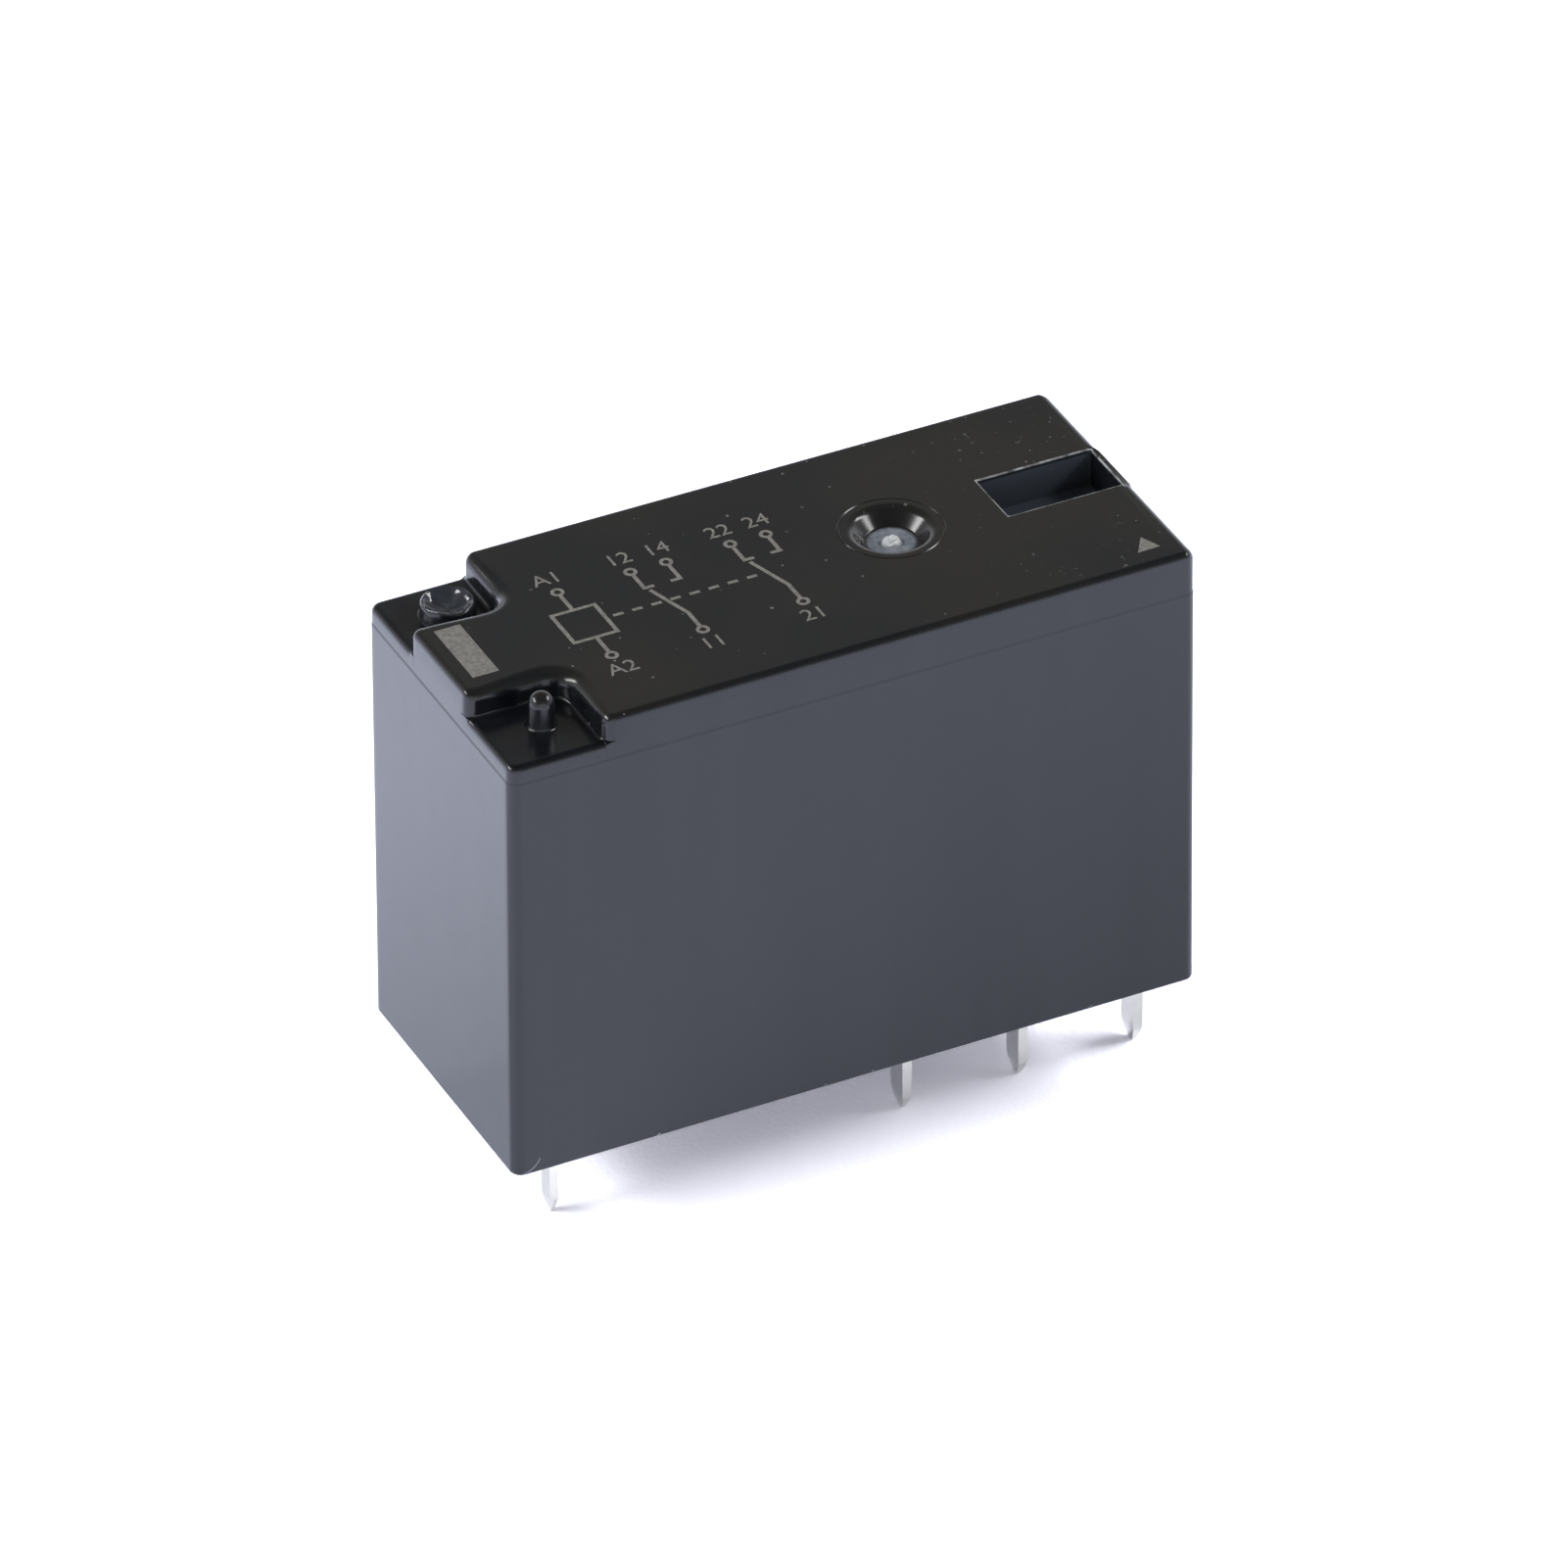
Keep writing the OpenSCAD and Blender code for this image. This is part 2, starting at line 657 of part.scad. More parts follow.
// Pusher: a frame round the armature tongue, a web between the poles and a cross bar at the springs
module card() {
    z0 = card_z - card_h / 2;
    z1 = card_z + card_h / 2;
    xa = tongue_x - play - card_lip;
    wy = tongue_w / 2 + play;
    color(cream) difference() {
        union() {
            box([xa, -wy - card_side, z0], [frame_x1, wy + card_side, z1]);
            box([frame_x1 - eps, -card_w / 2, z0], [push_x - eps, card_w / 2, z1]);
            box([push_x - push_t, -push_w / 2, z1 - push_h], [push_x, push_w / 2, z1]);
        }
        box([tongue_x - play, -wy, z0 - 1], [tongue_x + arm_t + play, wy, z1 + 1]);
    }
}

// One edge of a pin about the middle y, on the side d, with a tapered tip; the tip tapers on four sides
function pin_side(y, w, d) = [[y + d * w * tip_share, -pin_len], [y + d * w / 2, tip_l - pin_len]];

function reverse(list) = [for (i = [len(list) - 1:-1:0]) list[i]];

// Outline of a straight pin about the middle y, w wide, up to the height z
module pin_outline(y, w, z) {
    polygon(concat(pin_side(y, w, 1), [[y + w / 2, z], [y - w / 2, z]], reverse(pin_side(y, w, -1))));
}

// Straight strip about x, t thick and up to the height z, cut to the outline that is its child
module straight_strip(x, t, z) {
    intersection() {
        front_cut(x - t, 2 * t) children();
        side_cut(0, case_w) pin_outline(x, t, z + 1);
    }
}

module coil_terminal(s) {
    z = low_flange_z + flange_t + post_rise;
    color(tin) translate([0, s * row_y, 0]) straight_strip(coil_pin_x, coil_pin_t, z)
        pin_outline(0, coil_pin_w, z);
}

// One edge of a contact terminal's blank: pin, neck and plate, on the side d of its middle
function blank_side(y, d, z_neck, z_top, w_top) = concat(pin_side(y, pin_w, d),
    [[y + d * pin_w / 2, z_neck], [d * neck_w / 2, z_neck], [d * neck_w / 2, shoulder_z],
    [d * w_top / 2, shoulder_z + shoulder_h], [d * w_top / 2, z_top]]);

module blank(s, z_neck, z_top, w_top) {
    y = s * (row_y - plate_y);
    polygon(concat(blank_side(y, 1, z_neck, z_top, w_top), reverse(blank_side(y, -1, z_neck, z_top, w_top))));
}

// Straight common terminal, with two caulked studs that hold the moving spring
module com_terminal(s) {
    stud_l = term_t / 2 + 2 * root_gap + spring_t;
    color(tin) translate([0, s * plate_y, 0]) {
        straight_strip(com_x, term_t, flex_z + tab_h / 2) blank(s, resin_z, flex_z + tab_h / 2, neck_w);
        for (y = [-1, 1])
            translate([com_x, y * stud_gap / 2, flex_z]) rotate([0, -90, 0]) {
                cylinder(d = stud_d, h = stud_l + rivet_t);
                translate([0, 0, stud_l]) cylinder(d = stud_head_d, h = rivet_t);
            }
    }
}

module moving_spring(s) {
    color(bronze) translate([0, s * plate_y, 0]) front_cut(spring_x0, spring_t) difference() {
        union() {
            translate([-neck_w / 2, flex_z - tab_h / 2]) square([neck_w, contact_z - flex_z + tab_h / 2]);
            translate([-blade_w / 2, card_z - card_h]) square([blade_w, contact_z - card_z + card_h]);
            translate([0, contact_z]) circle(d = blade_w);
        }
        translate([0, contact_z]) circle(d = shank_d + 2 * fit);
        for (y = [-1, 1]) translate([y * stud_gap / 2, flex_z]) circle(d = stud_d + 2 * play);
    }
}

// Half section of a contact head with a crowned face, from the level 0 up
module head_section() {
    intersection() {
        square([contact_d / 2, contact_t]);
        translate([0, contact_t - crown_r]) circle(crown_r);
    }
}

// Rivet with a crowned head on each side of the spring
module moving_contact(s) {
    color(silver) translate([spring_x0, s * plate_y, contact_z]) rotate([0, 90, 0]) rotate_extrude() {
        translate([0, spring_t]) head_section();
        mirror([0, 1]) head_section();
        translate([0, -contact_t / 2]) square([shank_d / 2, spring_t + contact_t]);
    }
}

// Points on a round bend about c, from the angle a to the angle b
function bend_points(c, r, a, b) =
    [for (i = [0:bend_n]) let (t = a + (b - a) * i / bend_n) c + r * [cos(t), sin(t)]];

// Terminal folded twice: pin at x0, flat run under the base, contact plate at x1
module folded_terminal(s, x0, x1) {
    d = x1 > x0 ? 1 : -1;
    ca = [term_t / 2 + strip_r, run_z - strip_r];
    cb = [abs(x1 - x0) - term_t / 2 - strip_r, run_z + term_t + strip_r];
    strip = concat(
        pin_side(0, term_t, -1),
        bend_points(ca, strip_r + term_t, 180, 90),
        bend_points(cb, strip_r, 270, 360),
        [[cb[0] + strip_r, plate_top], [cb[0] + strip_r + term_t, plate_top]],
        bend_points(cb, strip_r + term_t, 360, 270),
        bend_points(ca, strip_r, 90, 180),
        reverse(pin_side(0, term_t, 1)));
    color(tin) translate([0, s * plate_y, 0]) difference() {
        intersection() {
            side_cut(0, case_w) polygon([for (p = strip) [x0 + d * p[0], p[1]]]);
            front_cut(min(x0, x1) - 1, abs(x1 - x0) + 2) blank(s, run_z, plate_top, blade_w);
        }
        translate([x1 - term_t, 0, contact_z]) rotate([0, 90, 0])
            cylinder(d = shank_d + 2 * fit, h = 2 * term_t);
    }
}

// Contact rivet through a plate whose face is at x, with its head towards d
module fixed_contact(s, x, d) {
    color(silver) translate([x, s * plate_y, contact_z]) rotate([0, d * 90, 0]) rotate_extrude() {
        head_section();
        translate([0, -term_t - rivet_t]) square([shank_d / 2, term_t + rivet_t + contact_t / 2]);
        translate([0, -term_t - rivet_t]) square([shank_d * 0.7, rivet_t]);
    }
}

seat() cover();
seat() base();
seat() sealing_resin();
seat() coil_bobbin();
seat() coil_winding();
seat() core();
seat() yoke();
seat() armature();
seat() hinge_spring();
seat() card();
seat() coil_terminal(-1);  // coil_terminal_1
seat() coil_terminal(1);  // coil_terminal_2
seat() com_terminal(-1);  // com_terminal_1
seat() com_terminal(1);  // com_terminal_2
seat() moving_spring(-1);  // moving_spring_1
seat() moving_spring(1);  // moving_spring_2
seat() moving_contact(-1);  // moving_contact_1
seat() moving_contact(1);  // moving_contact_2
seat() folded_terminal(-1, nc_pin_x, nc_x);  // nc_terminal_1
seat() folded_terminal(1, nc_pin_x, nc_x);  // nc_terminal_2
seat() fixed_contact(-1, nc_x + term_t / 2, 1);  // nc_contact_1
seat() fixed_contact(1, nc_x + term_t / 2, 1);  // nc_contact_2
seat() folded_terminal(-1, no_pin_x, no_x);  // no_terminal_1
seat() folded_terminal(1, no_pin_x, no_x);  // no_terminal_2
seat() fixed_contact(-1, no_x - term_t / 2, -1);  // no_contact_1
seat() fixed_contact(1, no_x - term_t / 2, -1);  // no_contact_2
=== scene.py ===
# %% [markdown]
# # A sealed power relay for circuit boards
# The solids of the relay come packed from the CAD side, in metres, with the pin tips on the floor.
# This lesson dresses them: it moulds a cover with soft edges, prints the top, gives every piece a
# finish, and sets the camera and the light of the photograph.

# %% Load the frame
import json
import math

import bmesh
import bpy
import numpy as np
from mathutils import Matrix, Vector
from mathutils.geometry import tessellate_polygon


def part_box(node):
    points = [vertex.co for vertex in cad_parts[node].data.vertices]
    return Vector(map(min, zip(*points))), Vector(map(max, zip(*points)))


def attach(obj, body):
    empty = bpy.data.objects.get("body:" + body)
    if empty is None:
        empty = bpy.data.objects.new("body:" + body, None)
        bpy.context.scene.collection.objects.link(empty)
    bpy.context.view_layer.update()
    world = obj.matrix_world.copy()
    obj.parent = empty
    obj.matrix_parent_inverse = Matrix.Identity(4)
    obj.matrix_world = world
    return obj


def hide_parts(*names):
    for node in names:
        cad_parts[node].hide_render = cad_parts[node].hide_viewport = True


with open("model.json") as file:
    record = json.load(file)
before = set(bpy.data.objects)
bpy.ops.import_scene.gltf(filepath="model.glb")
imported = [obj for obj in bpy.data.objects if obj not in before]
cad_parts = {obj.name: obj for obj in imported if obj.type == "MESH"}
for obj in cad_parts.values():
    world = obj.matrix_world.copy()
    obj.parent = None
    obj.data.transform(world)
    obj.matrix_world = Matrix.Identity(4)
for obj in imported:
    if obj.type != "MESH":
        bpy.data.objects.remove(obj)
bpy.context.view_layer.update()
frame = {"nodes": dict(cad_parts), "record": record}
MM = 0.001
nodes = frame["nodes"]

# %% [markdown]
# ## The camera
# A product shot of something this small is taken from far away with a long lens, so the edges stay
# almost parallel. The place and the focal length were solved from the corners of the case. The three
# axes of the camera are worked out from its azimuth, its height angle and a slight roll.

# %% Camera
AZIMUTH, ELEVATION, ROLL = np.radians([-26.129, 34.755, -0.38])
AIM = np.array([0.0, 0.0, 14.0])
DISTANCE, SIDE_STEP, UP_STEP = 567.4, -0.004, -0.222
FOCAL_PIXELS, PICTURE = 15199.3, 1601
SENSOR = 36.0


def camera_axes(azimuth, elevation, roll):
    """Right, up and back vectors of a camera that looks at the origin from these angles, then rolls."""
    level = np.array([np.sin(azimuth), -np.cos(azimuth), 0.0])
    back = level * np.cos(elevation) + np.array([0.0, 0.0, np.sin(elevation)])
    right = np.array([np.cos(azimuth), np.sin(azimuth), 0.0])
    up = np.cross(back, right)
    c, s = np.cos(roll), np.sin(roll)
    return c * right + s * up, -s * right + c * up, back


right, up, back = camera_axes(AZIMUTH, ELEVATION, ROLL)
eye = (AIM + SIDE_STEP * right + UP_STEP * up + DISTANCE * back) * MM
pose = np.eye(4)
pose[:3, 0], pose[:3, 1], pose[:3, 2], pose[:3, 3] = right, up, back, eye
camera = bpy.data.objects.new("camera", bpy.data.cameras.new("camera"))
bpy.context.scene.collection.objects.link(camera)
camera.matrix_world = Matrix(pose.tolist())
camera.data.sensor_width = SENSOR
camera.data.lens = FOCAL_PIXELS * SENSOR / PICTURE
camera.data.clip_start, camera.data.clip_end = 0.01, 20.0
bpy.context.scene.camera = camera
bpy.context.scene.view_settings.view_transform = "Standard"
print("lens in mm:", round(camera.data.lens, 1), "eye:", np.round(eye, 4))

# %% [markdown]
# ## Meshes from arrays
# Every new piece is a grid of points: one index runs along a path, the other along a profile. The
# helper below turns such grids into one mesh. Points are in millimetres above the board level, which
# is the rim of the case, and the helper lifts them by the length of the pins.

# %% Grid helper
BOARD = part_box("cover")[0].z / MM
print("board level above the pin tips in mm:", round(BOARD, 2))


class Shell:
    """Collects grids and flat fills, and becomes one mesh object with its place in the mesh."""

    def __init__(self, name):
        self.name, self.points, self.faces, self.count = name, [], [], 0

    def grid(self, p, closed_u=False, closed_v=False, flip=False):
        """p[u, v] are points; each cell of the grid becomes a four-cornered face."""
        nu, nv = p.shape[:2]
        index = np.arange(nu * nv).reshape(nu, nv) + self.count
        a = np.concatenate([index, index[:1]]) if closed_u else index
        a = np.concatenate([a, a[:, :1]], axis=1) if closed_v else a
        quads = np.stack([a[:-1, :-1], a[1:, :-1], a[1:, 1:], a[:-1, 1:]], axis=-1).reshape(-1, 4)
        self.points.append(p.reshape(-1, 3))
        self.faces.extend((quads[:, ::-1] if flip else quads).tolist())
        self.count += nu * nv

    def fill(self, loops, flip=False):
        """Triangles between the first loop, which is the outline, and the others, which are holes in it."""
        flat = np.concatenate(loops)
        triangles = np.array(tessellate_polygon([[Vector(q) for q in loop] for loop in loops]))
        e = flat[triangles]
        turn = np.cross(e[:, 1] - e[:, 0], e[:, 2] - e[:, 0])[:, 2]
        triangles[turn < 0] = triangles[turn < 0][:, ::-1]
        self.points.append(flat)
        self.faces.extend(((triangles[:, ::-1] if flip else triangles) + self.count).tolist())
        self.count += len(flat)

    def make(self, body="case", sharp=35.0, merge=2e-4):
        """One mesh object, welded, smooth up to the sharp angle in degrees, riding on its body."""
        points = np.concatenate(self.points) + [0.0, 0.0, BOARD]
        mesh = bpy.data.meshes.new(self.name)
        mesh.from_pydata((points * MM).tolist(), [], self.faces)
        obj = bpy.data.objects.new(self.name, mesh)
        bpy.context.scene.collection.objects.link(obj)
        weld(mesh, merge * MM)
        mesh.shade_smooth()
        mesh.set_sharp_from_angle(angle=math.radians(sharp))
        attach(obj, body)
        print(self.name, "faces:", len(mesh.polygons))
        return obj


def weld(mesh, distance):
    """Merges points that fall together and drops faces without area."""
    work = bmesh.new()
    work.from_mesh(mesh)
    bmesh.ops.remove_doubles(work, verts=work.verts, dist=distance)
    bmesh.ops.dissolve_degenerate(work, edges=work.edges, dist=distance)
    work.to_mesh(mesh)
    work.free()


# %% [markdown]
# ## The outlines of the cover
# Seen from above, the raised top is a rectangle with a pocket cut out of each corner at the coil end,
# which leaves a tongue between them. Its outline is a chain of straight lines and quarter circles.
# Along it run two more lines: the outer edge of the case, and the direction in which each wall faces.

# %% Outline of the raised top
CASE_L, CASE_W, CASE_H = 28.8, 12.6, 19.8
STEP, CORNER = 0.025, 0.45
CORNER_N, WALL_N, TURN_N = 16, 14, 24
SIDE_N, END_N, TONGUE_N = 60, 120, 24
POCKET_L, POCKET_W, POCKET_DEPTH, POCKET_R = 3.95, 3.75, 1.1, 0.9
HALF_L, HALF_W = CASE_L / 2 - STEP, CASE_W / 2 - STEP
POCKET_X, TONGUE_Y = POCKET_L - CASE_L / 2, CASE_W / 2 - POCKET_W
FLOOR = CASE_H - POCKET_DEPTH


def line(a, b, n):
    """n points from a to b, without b, and the normal on the right of the way."""
    a, b = np.array(a, float), np.array(b, float)
    t = np.linspace(0, 1, n, endpoint=False)[:, None]
    way = (b - a) / np.linalg.norm(b - a)
    return a + (b - a) * t, np.repeat([[way[1], -way[0]]], n, axis=0)


def arc(c, r, start, end, n):
    """n points on a circle about c, without the last; normals point out of a left turn, into a right one."""
    t = np.radians(np.linspace(start, end, n, endpoint=False))
    ring = np.stack([np.cos(t), np.sin(t)], axis=1)
    return np.array(c) + r * ring, ring * (1 if end > start else -1)


def chain(*parts):
    """Joins lines and arcs into one closed line of points and normals."""
    return np.concatenate([p for p, _ in parts]), np.concatenate([n for _, n in parts])


X1, Y1, CX, CY = HALF_L - CORNER, HALF_W - CORNER, POCKET_X + CORNER, TONGUE_Y - CORNER
PX, PY = POCKET_X - POCKET_R, TONGUE_Y + POCKET_R
near_side = line([CX, -HALF_W], [X1, -HALF_W], SIDE_N)
end_side = line([HALF_L, -Y1], [HALF_L, Y1], END_N)
far_side = line([X1, HALF_W], [CX, HALF_W], SIDE_N)
tongue_end = line([-HALF_L, CY], [-HALF_L, -CY], TONGUE_N)
far_pocket = chain(arc([CX, Y1], CORNER, 90, 180, CORNER_N), line([POCKET_X, Y1], [POCKET_X, PY], WALL_N),
                   arc([PX, PY], POCKET_R, 0, -90, TURN_N), line([PX, TONGUE_Y], [-X1, TONGUE_Y], WALL_N),
                   arc([-X1, CY], CORNER, 90, 180, CORNER_N))
near_pocket = chain(arc([-X1, -CY], CORNER, 180, 270, CORNER_N),
                    line([-X1, -TONGUE_Y], [PX, -TONGUE_Y], WALL_N),
                    arc([PX, -PY], POCKET_R, 90, 0, TURN_N), line([POCKET_X, -PY], [POCKET_X, -Y1], WALL_N),
                    arc([CX, -Y1], CORNER, 180, 270, CORNER_N))
top_line, top_out = chain(near_side, arc([X1, -Y1], CORNER, -90, 0, CORNER_N), end_side,
                          arc([X1, Y1], CORNER, 0, 90, CORNER_N), far_side,
                          far_pocket, tongue_end, near_pocket)
print("points along the outline:", len(top_line))

# %% Outer edge beside the outline
EDGE_X, EDGE_Y = -12.9, 4.6


def pocket_edge(sign):
    """Outer edge beside a pocket wall, point for point: along the side, round the corner, along the end.

    The far pocket has sign 1, and the near one is its mirror image, walked the other way."""
    wall = far_pocket[0]
    first, last = wall[:CORNER_N].copy(), wall[-CORNER_N:].copy()
    first[:, 1], last[:, 0] = HALF_W, -HALF_L
    parts = [(first, np.repeat([[0.0, 1.0]], CORNER_N, axis=0)),
             line([POCKET_X, HALF_W], [EDGE_X, HALF_W], WALL_N),
             line([EDGE_X, HALF_W], [-X1, HALF_W], TURN_N // 4),
             arc([-X1, Y1], CORNER, 90, 180, TURN_N // 2),
             line([-HALF_L, Y1], [-HALF_L, EDGE_Y], TURN_N // 4),
             line([-HALF_L, EDGE_Y], [-HALF_L, TONGUE_Y], WALL_N),
             (last, np.repeat([[-1.0, 0.0]], CORNER_N, axis=0))]
    points, out = (np.concatenate(q) for q in zip(*parts))
    return (points, out) if sign > 0 else (points[::-1] * [1, -1], out[::-1] * [1, -1])


outer, outer_out = top_line.copy(), top_out.copy()
far_first = len(near_side[0]) + len(end_side[0]) + len(far_side[0]) + 2 * CORNER_N
far_span = slice(far_first, far_first + len(far_pocket[0]))
near_span = slice(len(top_line) - len(near_pocket[0]), len(top_line))
outer[far_span], outer_out[far_span] = pocket_edge(1)
outer[near_span], outer_out[near_span] = pocket_edge(-1)
floor_width = np.linalg.norm(outer - top_line, axis=1)
print("widest floor beside a pocket wall:", round(floor_width.max(), 2), "mm")

# %% [markdown]
# ## The cover
# The real cover is one thin moulding. A profile is carried along the outline: over the rounded top
# edge, down the wall, across a pocket floor where there is one, over the outer edge, past the small
# step at the parting line and down to the rim. Where there is no pocket the floor has no width, so
# the same grid gives a straight wall. Short flat strips beside each rounding keep the big flat faces
# evenly shaded, and the two ends lean out slightly towards the rim, as a moulding does to leave its
# mould. The radius of the rounding changes along the outline, so it is worked out first.

# %% Cover: radii along the outline
EDGE_R, SOFT_R, TURN_R, FOOT_R = 0.28, 0.42, 0.2, 0.14
EDGE_SHARE, FOOT_SHARE = 0.5, 0.45
SLOT_L, SLOT_W, SLOT_Y, SLOT_END, SLOT_DEPTH = 4.9, 2.68, 0.47, 0.34, 1.6
SLOT_DROP, SLOT_EDGE_R, DROP_INSET, DROP_SOFT = 0.1, 0.13, 0.1, 0.35


def smooth(t):
    """Runs from 0 to 1 with level ends."""
    t = np.clip(t, 0, 1)
    return t * t * (3 - 2 * t)


def window(y, centre, half, soft):
    """1 inside centre plus or minus half, falling to 0 over the distance soft."""
    return smooth((half + soft - np.abs(y - centre)) / soft)


beside_slot = window(top_line[:, 1], SLOT_Y, SLOT_W / 2 - DROP_INSET, DROP_SOFT)
at_slot = np.where(top_line[:, 0] > HALF_L - 1e-6, beside_slot, 0.0)
top_z = CASE_H - SLOT_DROP * at_slot
softer = smooth(top_out[:, 0])
lead_in = smooth(np.linspace(0, 1, CORNER_N))
pocket_soft = np.concatenate([lead_in, np.ones(TURN_N + 2 * WALL_N), lead_in[::-1]])
softer[far_span], softer[near_span] = pocket_soft, pocket_soft
edge_r = (EDGE_R + (SOFT_R - EDGE_R) * softer) * (1 - at_slot) + SLOT_EDGE_R * at_slot
run_in, no_turn = smooth(np.linspace(0, 1, WALL_N)), np.zeros(CORNER_N)
inside_turn = np.concatenate([no_turn, run_in, np.ones(TURN_N), run_in[::-1], no_turn])
edge_r[far_span] += TURN_R * inside_turn
edge_r[near_span] += TURN_R * inside_turn
foot_r = np.minimum(FOOT_R, FOOT_SHARE * floor_width)
out_r = np.minimum(EDGE_R, EDGE_SHARE * floor_width)
print("edge radius from", round(edge_r.min(), 2), "to", round(edge_r.max(), 2), "mm")

# %% Cover: outside
RIM_FLAT, FLOOR_FLAT, BOTTOM_R = 0.02, 0.06, 0.08
PARTING, DRAFT = CASE_H - 1.85, 0.00049
LEDGE = [(0, 0.09), (0, 0.05), (0.004, 0.03), (STEP - 0.004, -0.03), (STEP, -0.05), (STEP, -0.09)]
WALL_RINGS = [14.0, 9.0, 4.5, BOTTOM_R + RIM_FLAT]


def ring_at(line_xy, out_xy, offset, z):
    """The closed line moved outwards by offset, at the height z."""
    xy = line_xy + out_xy * np.broadcast_to(offset, len(line_xy))[:, None]
    return np.column_stack([xy, np.broadcast_to(z, len(xy))])


quarter = np.radians(np.linspace(0, 90, 10))
rings = [ring_at(top_line, top_out, -edge_r - RIM_FLAT, top_z)]
rings += [ring_at(top_line, top_out, edge_r * (np.sin(a) - 1), top_z - edge_r * (1 - np.cos(a)))
          for a in quarter]
rings += [ring_at(top_line, top_out, foot_r * (1 - np.cos(a)), FLOOR + foot_r * (1 - np.sin(a)))
          for a in quarter[::2]]
flat = FLOOR_FLAT * np.minimum(floor_width, 1)
rings += [ring_at(top_line, top_out, foot_r + flat, FLOOR), ring_at(outer, outer_out, -out_r - flat, FLOOR)]
rings += [ring_at(outer, outer_out, out_r * (np.sin(a) - 1), FLOOR - out_r * (1 - np.cos(a)))
          for a in quarter]
rings += [ring_at(outer, outer_out, d, PARTING + z) for d, z in LEDGE]
rings += [ring_at(outer, outer_out, STEP, z) for z in WALL_RINGS]
rings += [ring_at(outer, outer_out, STEP - BOTTOM_R * (1 - np.cos(a)), BOTTOM_R * (1 - np.sin(a)))
          for a in quarter[::3]]
rings += [ring_at(outer, outer_out, STEP - BOTTOM_R - RIM_FLAT, 0.0)]
cover = Shell("relay_cover")
wall = np.stack(rings, axis=1)
wall[..., 0] *= 1 + DRAFT * (CASE_H - wall[..., 2])
cover.grid(wall, closed_u=True, flip=True)
top_edge = wall[:, 0]
print("rings from the top to the rim:", len(rings))

# %% [markdown]
# ### The inside of the cover
# The real cover has walls of under a millimetre, and its roof steps down under the pockets and the slot.
# The inside could be a shrunken copy of the outside, but the base needs straight walls to sit in, so the
# outer line is pressed into two plain rectangles. The roof is a grid with a jump in its height at each step.

# %% Cover: rim, inner walls and stepped roof
LOW_X, LOW_Y, IN_X, IN_Y = 13.8, 5.7, 13.6, 5.5
BASE_TOP, SKIN, ROOF_SKIN = 2.23, 0.75, 1.0
ROOF, PAD, SLOT_PAD = CASE_H - ROOF_SKIN, FLOOR - SKIN, CASE_H - SLOT_DEPTH - SKIN


def clipped(x, y, z):
    """The outer line pressed into a rectangle, at the height z."""
    return np.column_stack([np.clip(outer, [-x, -y], [x, y]), np.full(len(outer), z)])


inner = [wall[:, -1], clipped(LOW_X, LOW_Y, 0.0), clipped(LOW_X, LOW_Y, BASE_TOP),
         clipped(IN_X, IN_Y, BASE_TOP), clipped(IN_X, IN_Y, SLOT_PAD)]
cover.grid(np.stack(inner, axis=1), closed_u=True, flip=True)
pad_x, pad_y, gap = POCKET_X + SKIN, TONGUE_Y - SKIN, 1e-3
slot_x0 = HALF_L - SLOT_END - SLOT_L - SKIN
gx = np.array([-IN_X, -IN_X + gap, pad_x, pad_x + gap, slot_x0, slot_x0 + gap, IN_X - gap, IN_X])
s0, s1 = SLOT_Y - SLOT_W / 2 - SKIN, SLOT_Y + SLOT_W / 2 + SKIN
gy = np.sort([-IN_Y, -IN_Y + gap, -pad_y, -pad_y + gap, s0, s0 + gap,
              s1 - gap, s1, pad_y - gap, pad_y, IN_Y - gap, IN_Y])
roof_x, roof_y = np.meshgrid(gx, gy, indexing="ij")
roof_z = np.full(roof_x.shape, ROOF)
roof_z[(roof_x <= pad_x) & (np.abs(roof_y) >= pad_y)] = PAD
roof_z[(roof_x >= slot_x0 + gap) & (roof_y >= s0 + gap) & (roof_y <= s1 - gap)] = SLOT_PAD
roof_z[[0, -1], :], roof_z[:, [0, -1]] = SLOT_PAD, SLOT_PAD
cover.grid(np.stack([roof_x, roof_y, roof_z], axis=-1), flip=True)
print("roof levels in mm:", np.unique(np.round(roof_z, 2)))

# %% [markdown]
# ## Slot, gate dimple and the top face
# Two hollows break the flat top. The slot at the contact end is a rectangular line with a profile
# that runs down its wall. The dimple, where the plastic entered the mould, is a surface of
# revolution with the torn stub of the gate in its middle. What is left of the top is one flat fill
# between the outline and the two rims.

# %% Slot
SLOT_CORNER, SLOT_RIM, SLOT_FOOT, SLOT_LEAN = 0.12, 0.08, 0.04, 0.06
sx1 = HALF_L - SLOT_END
sx0, sy0, sy1 = sx1 - SLOT_L, SLOT_Y - SLOT_W / 2, SLOT_Y + SLOT_W / 2
c = SLOT_CORNER
SLOT_N, SLOT_TURN_N = 24, 8
slot_line, slot_out = chain(
    line([sx0 + c, sy0], [sx1 - c, sy0], SLOT_N), arc([sx1 - c, sy0 + c], c, -90, 0, SLOT_TURN_N),
    line([sx1, sy0 + c], [sx1, sy1 - c], SLOT_N), arc([sx1 - c, sy1 - c], c, 0, 90, SLOT_TURN_N),
    line([sx1 - c, sy1], [sx0 + c, sy1], SLOT_N), arc([sx0 + c, sy1 - c], c, 90, 180, SLOT_TURN_N),
    line([sx0, sy1 - c], [sx0, sy0 + c], SLOT_N), arc([sx0 + c, sy0 + c], c, 180, 270, SLOT_TURN_N))
slot_top = CASE_H - SLOT_DROP * smooth((slot_line[:, 0] - sx1 + c) / c)
slot_floor = CASE_H - SLOT_DEPTH
steps = [ring_at(slot_line, slot_out, SLOT_RIM + RIM_FLAT, slot_top)]
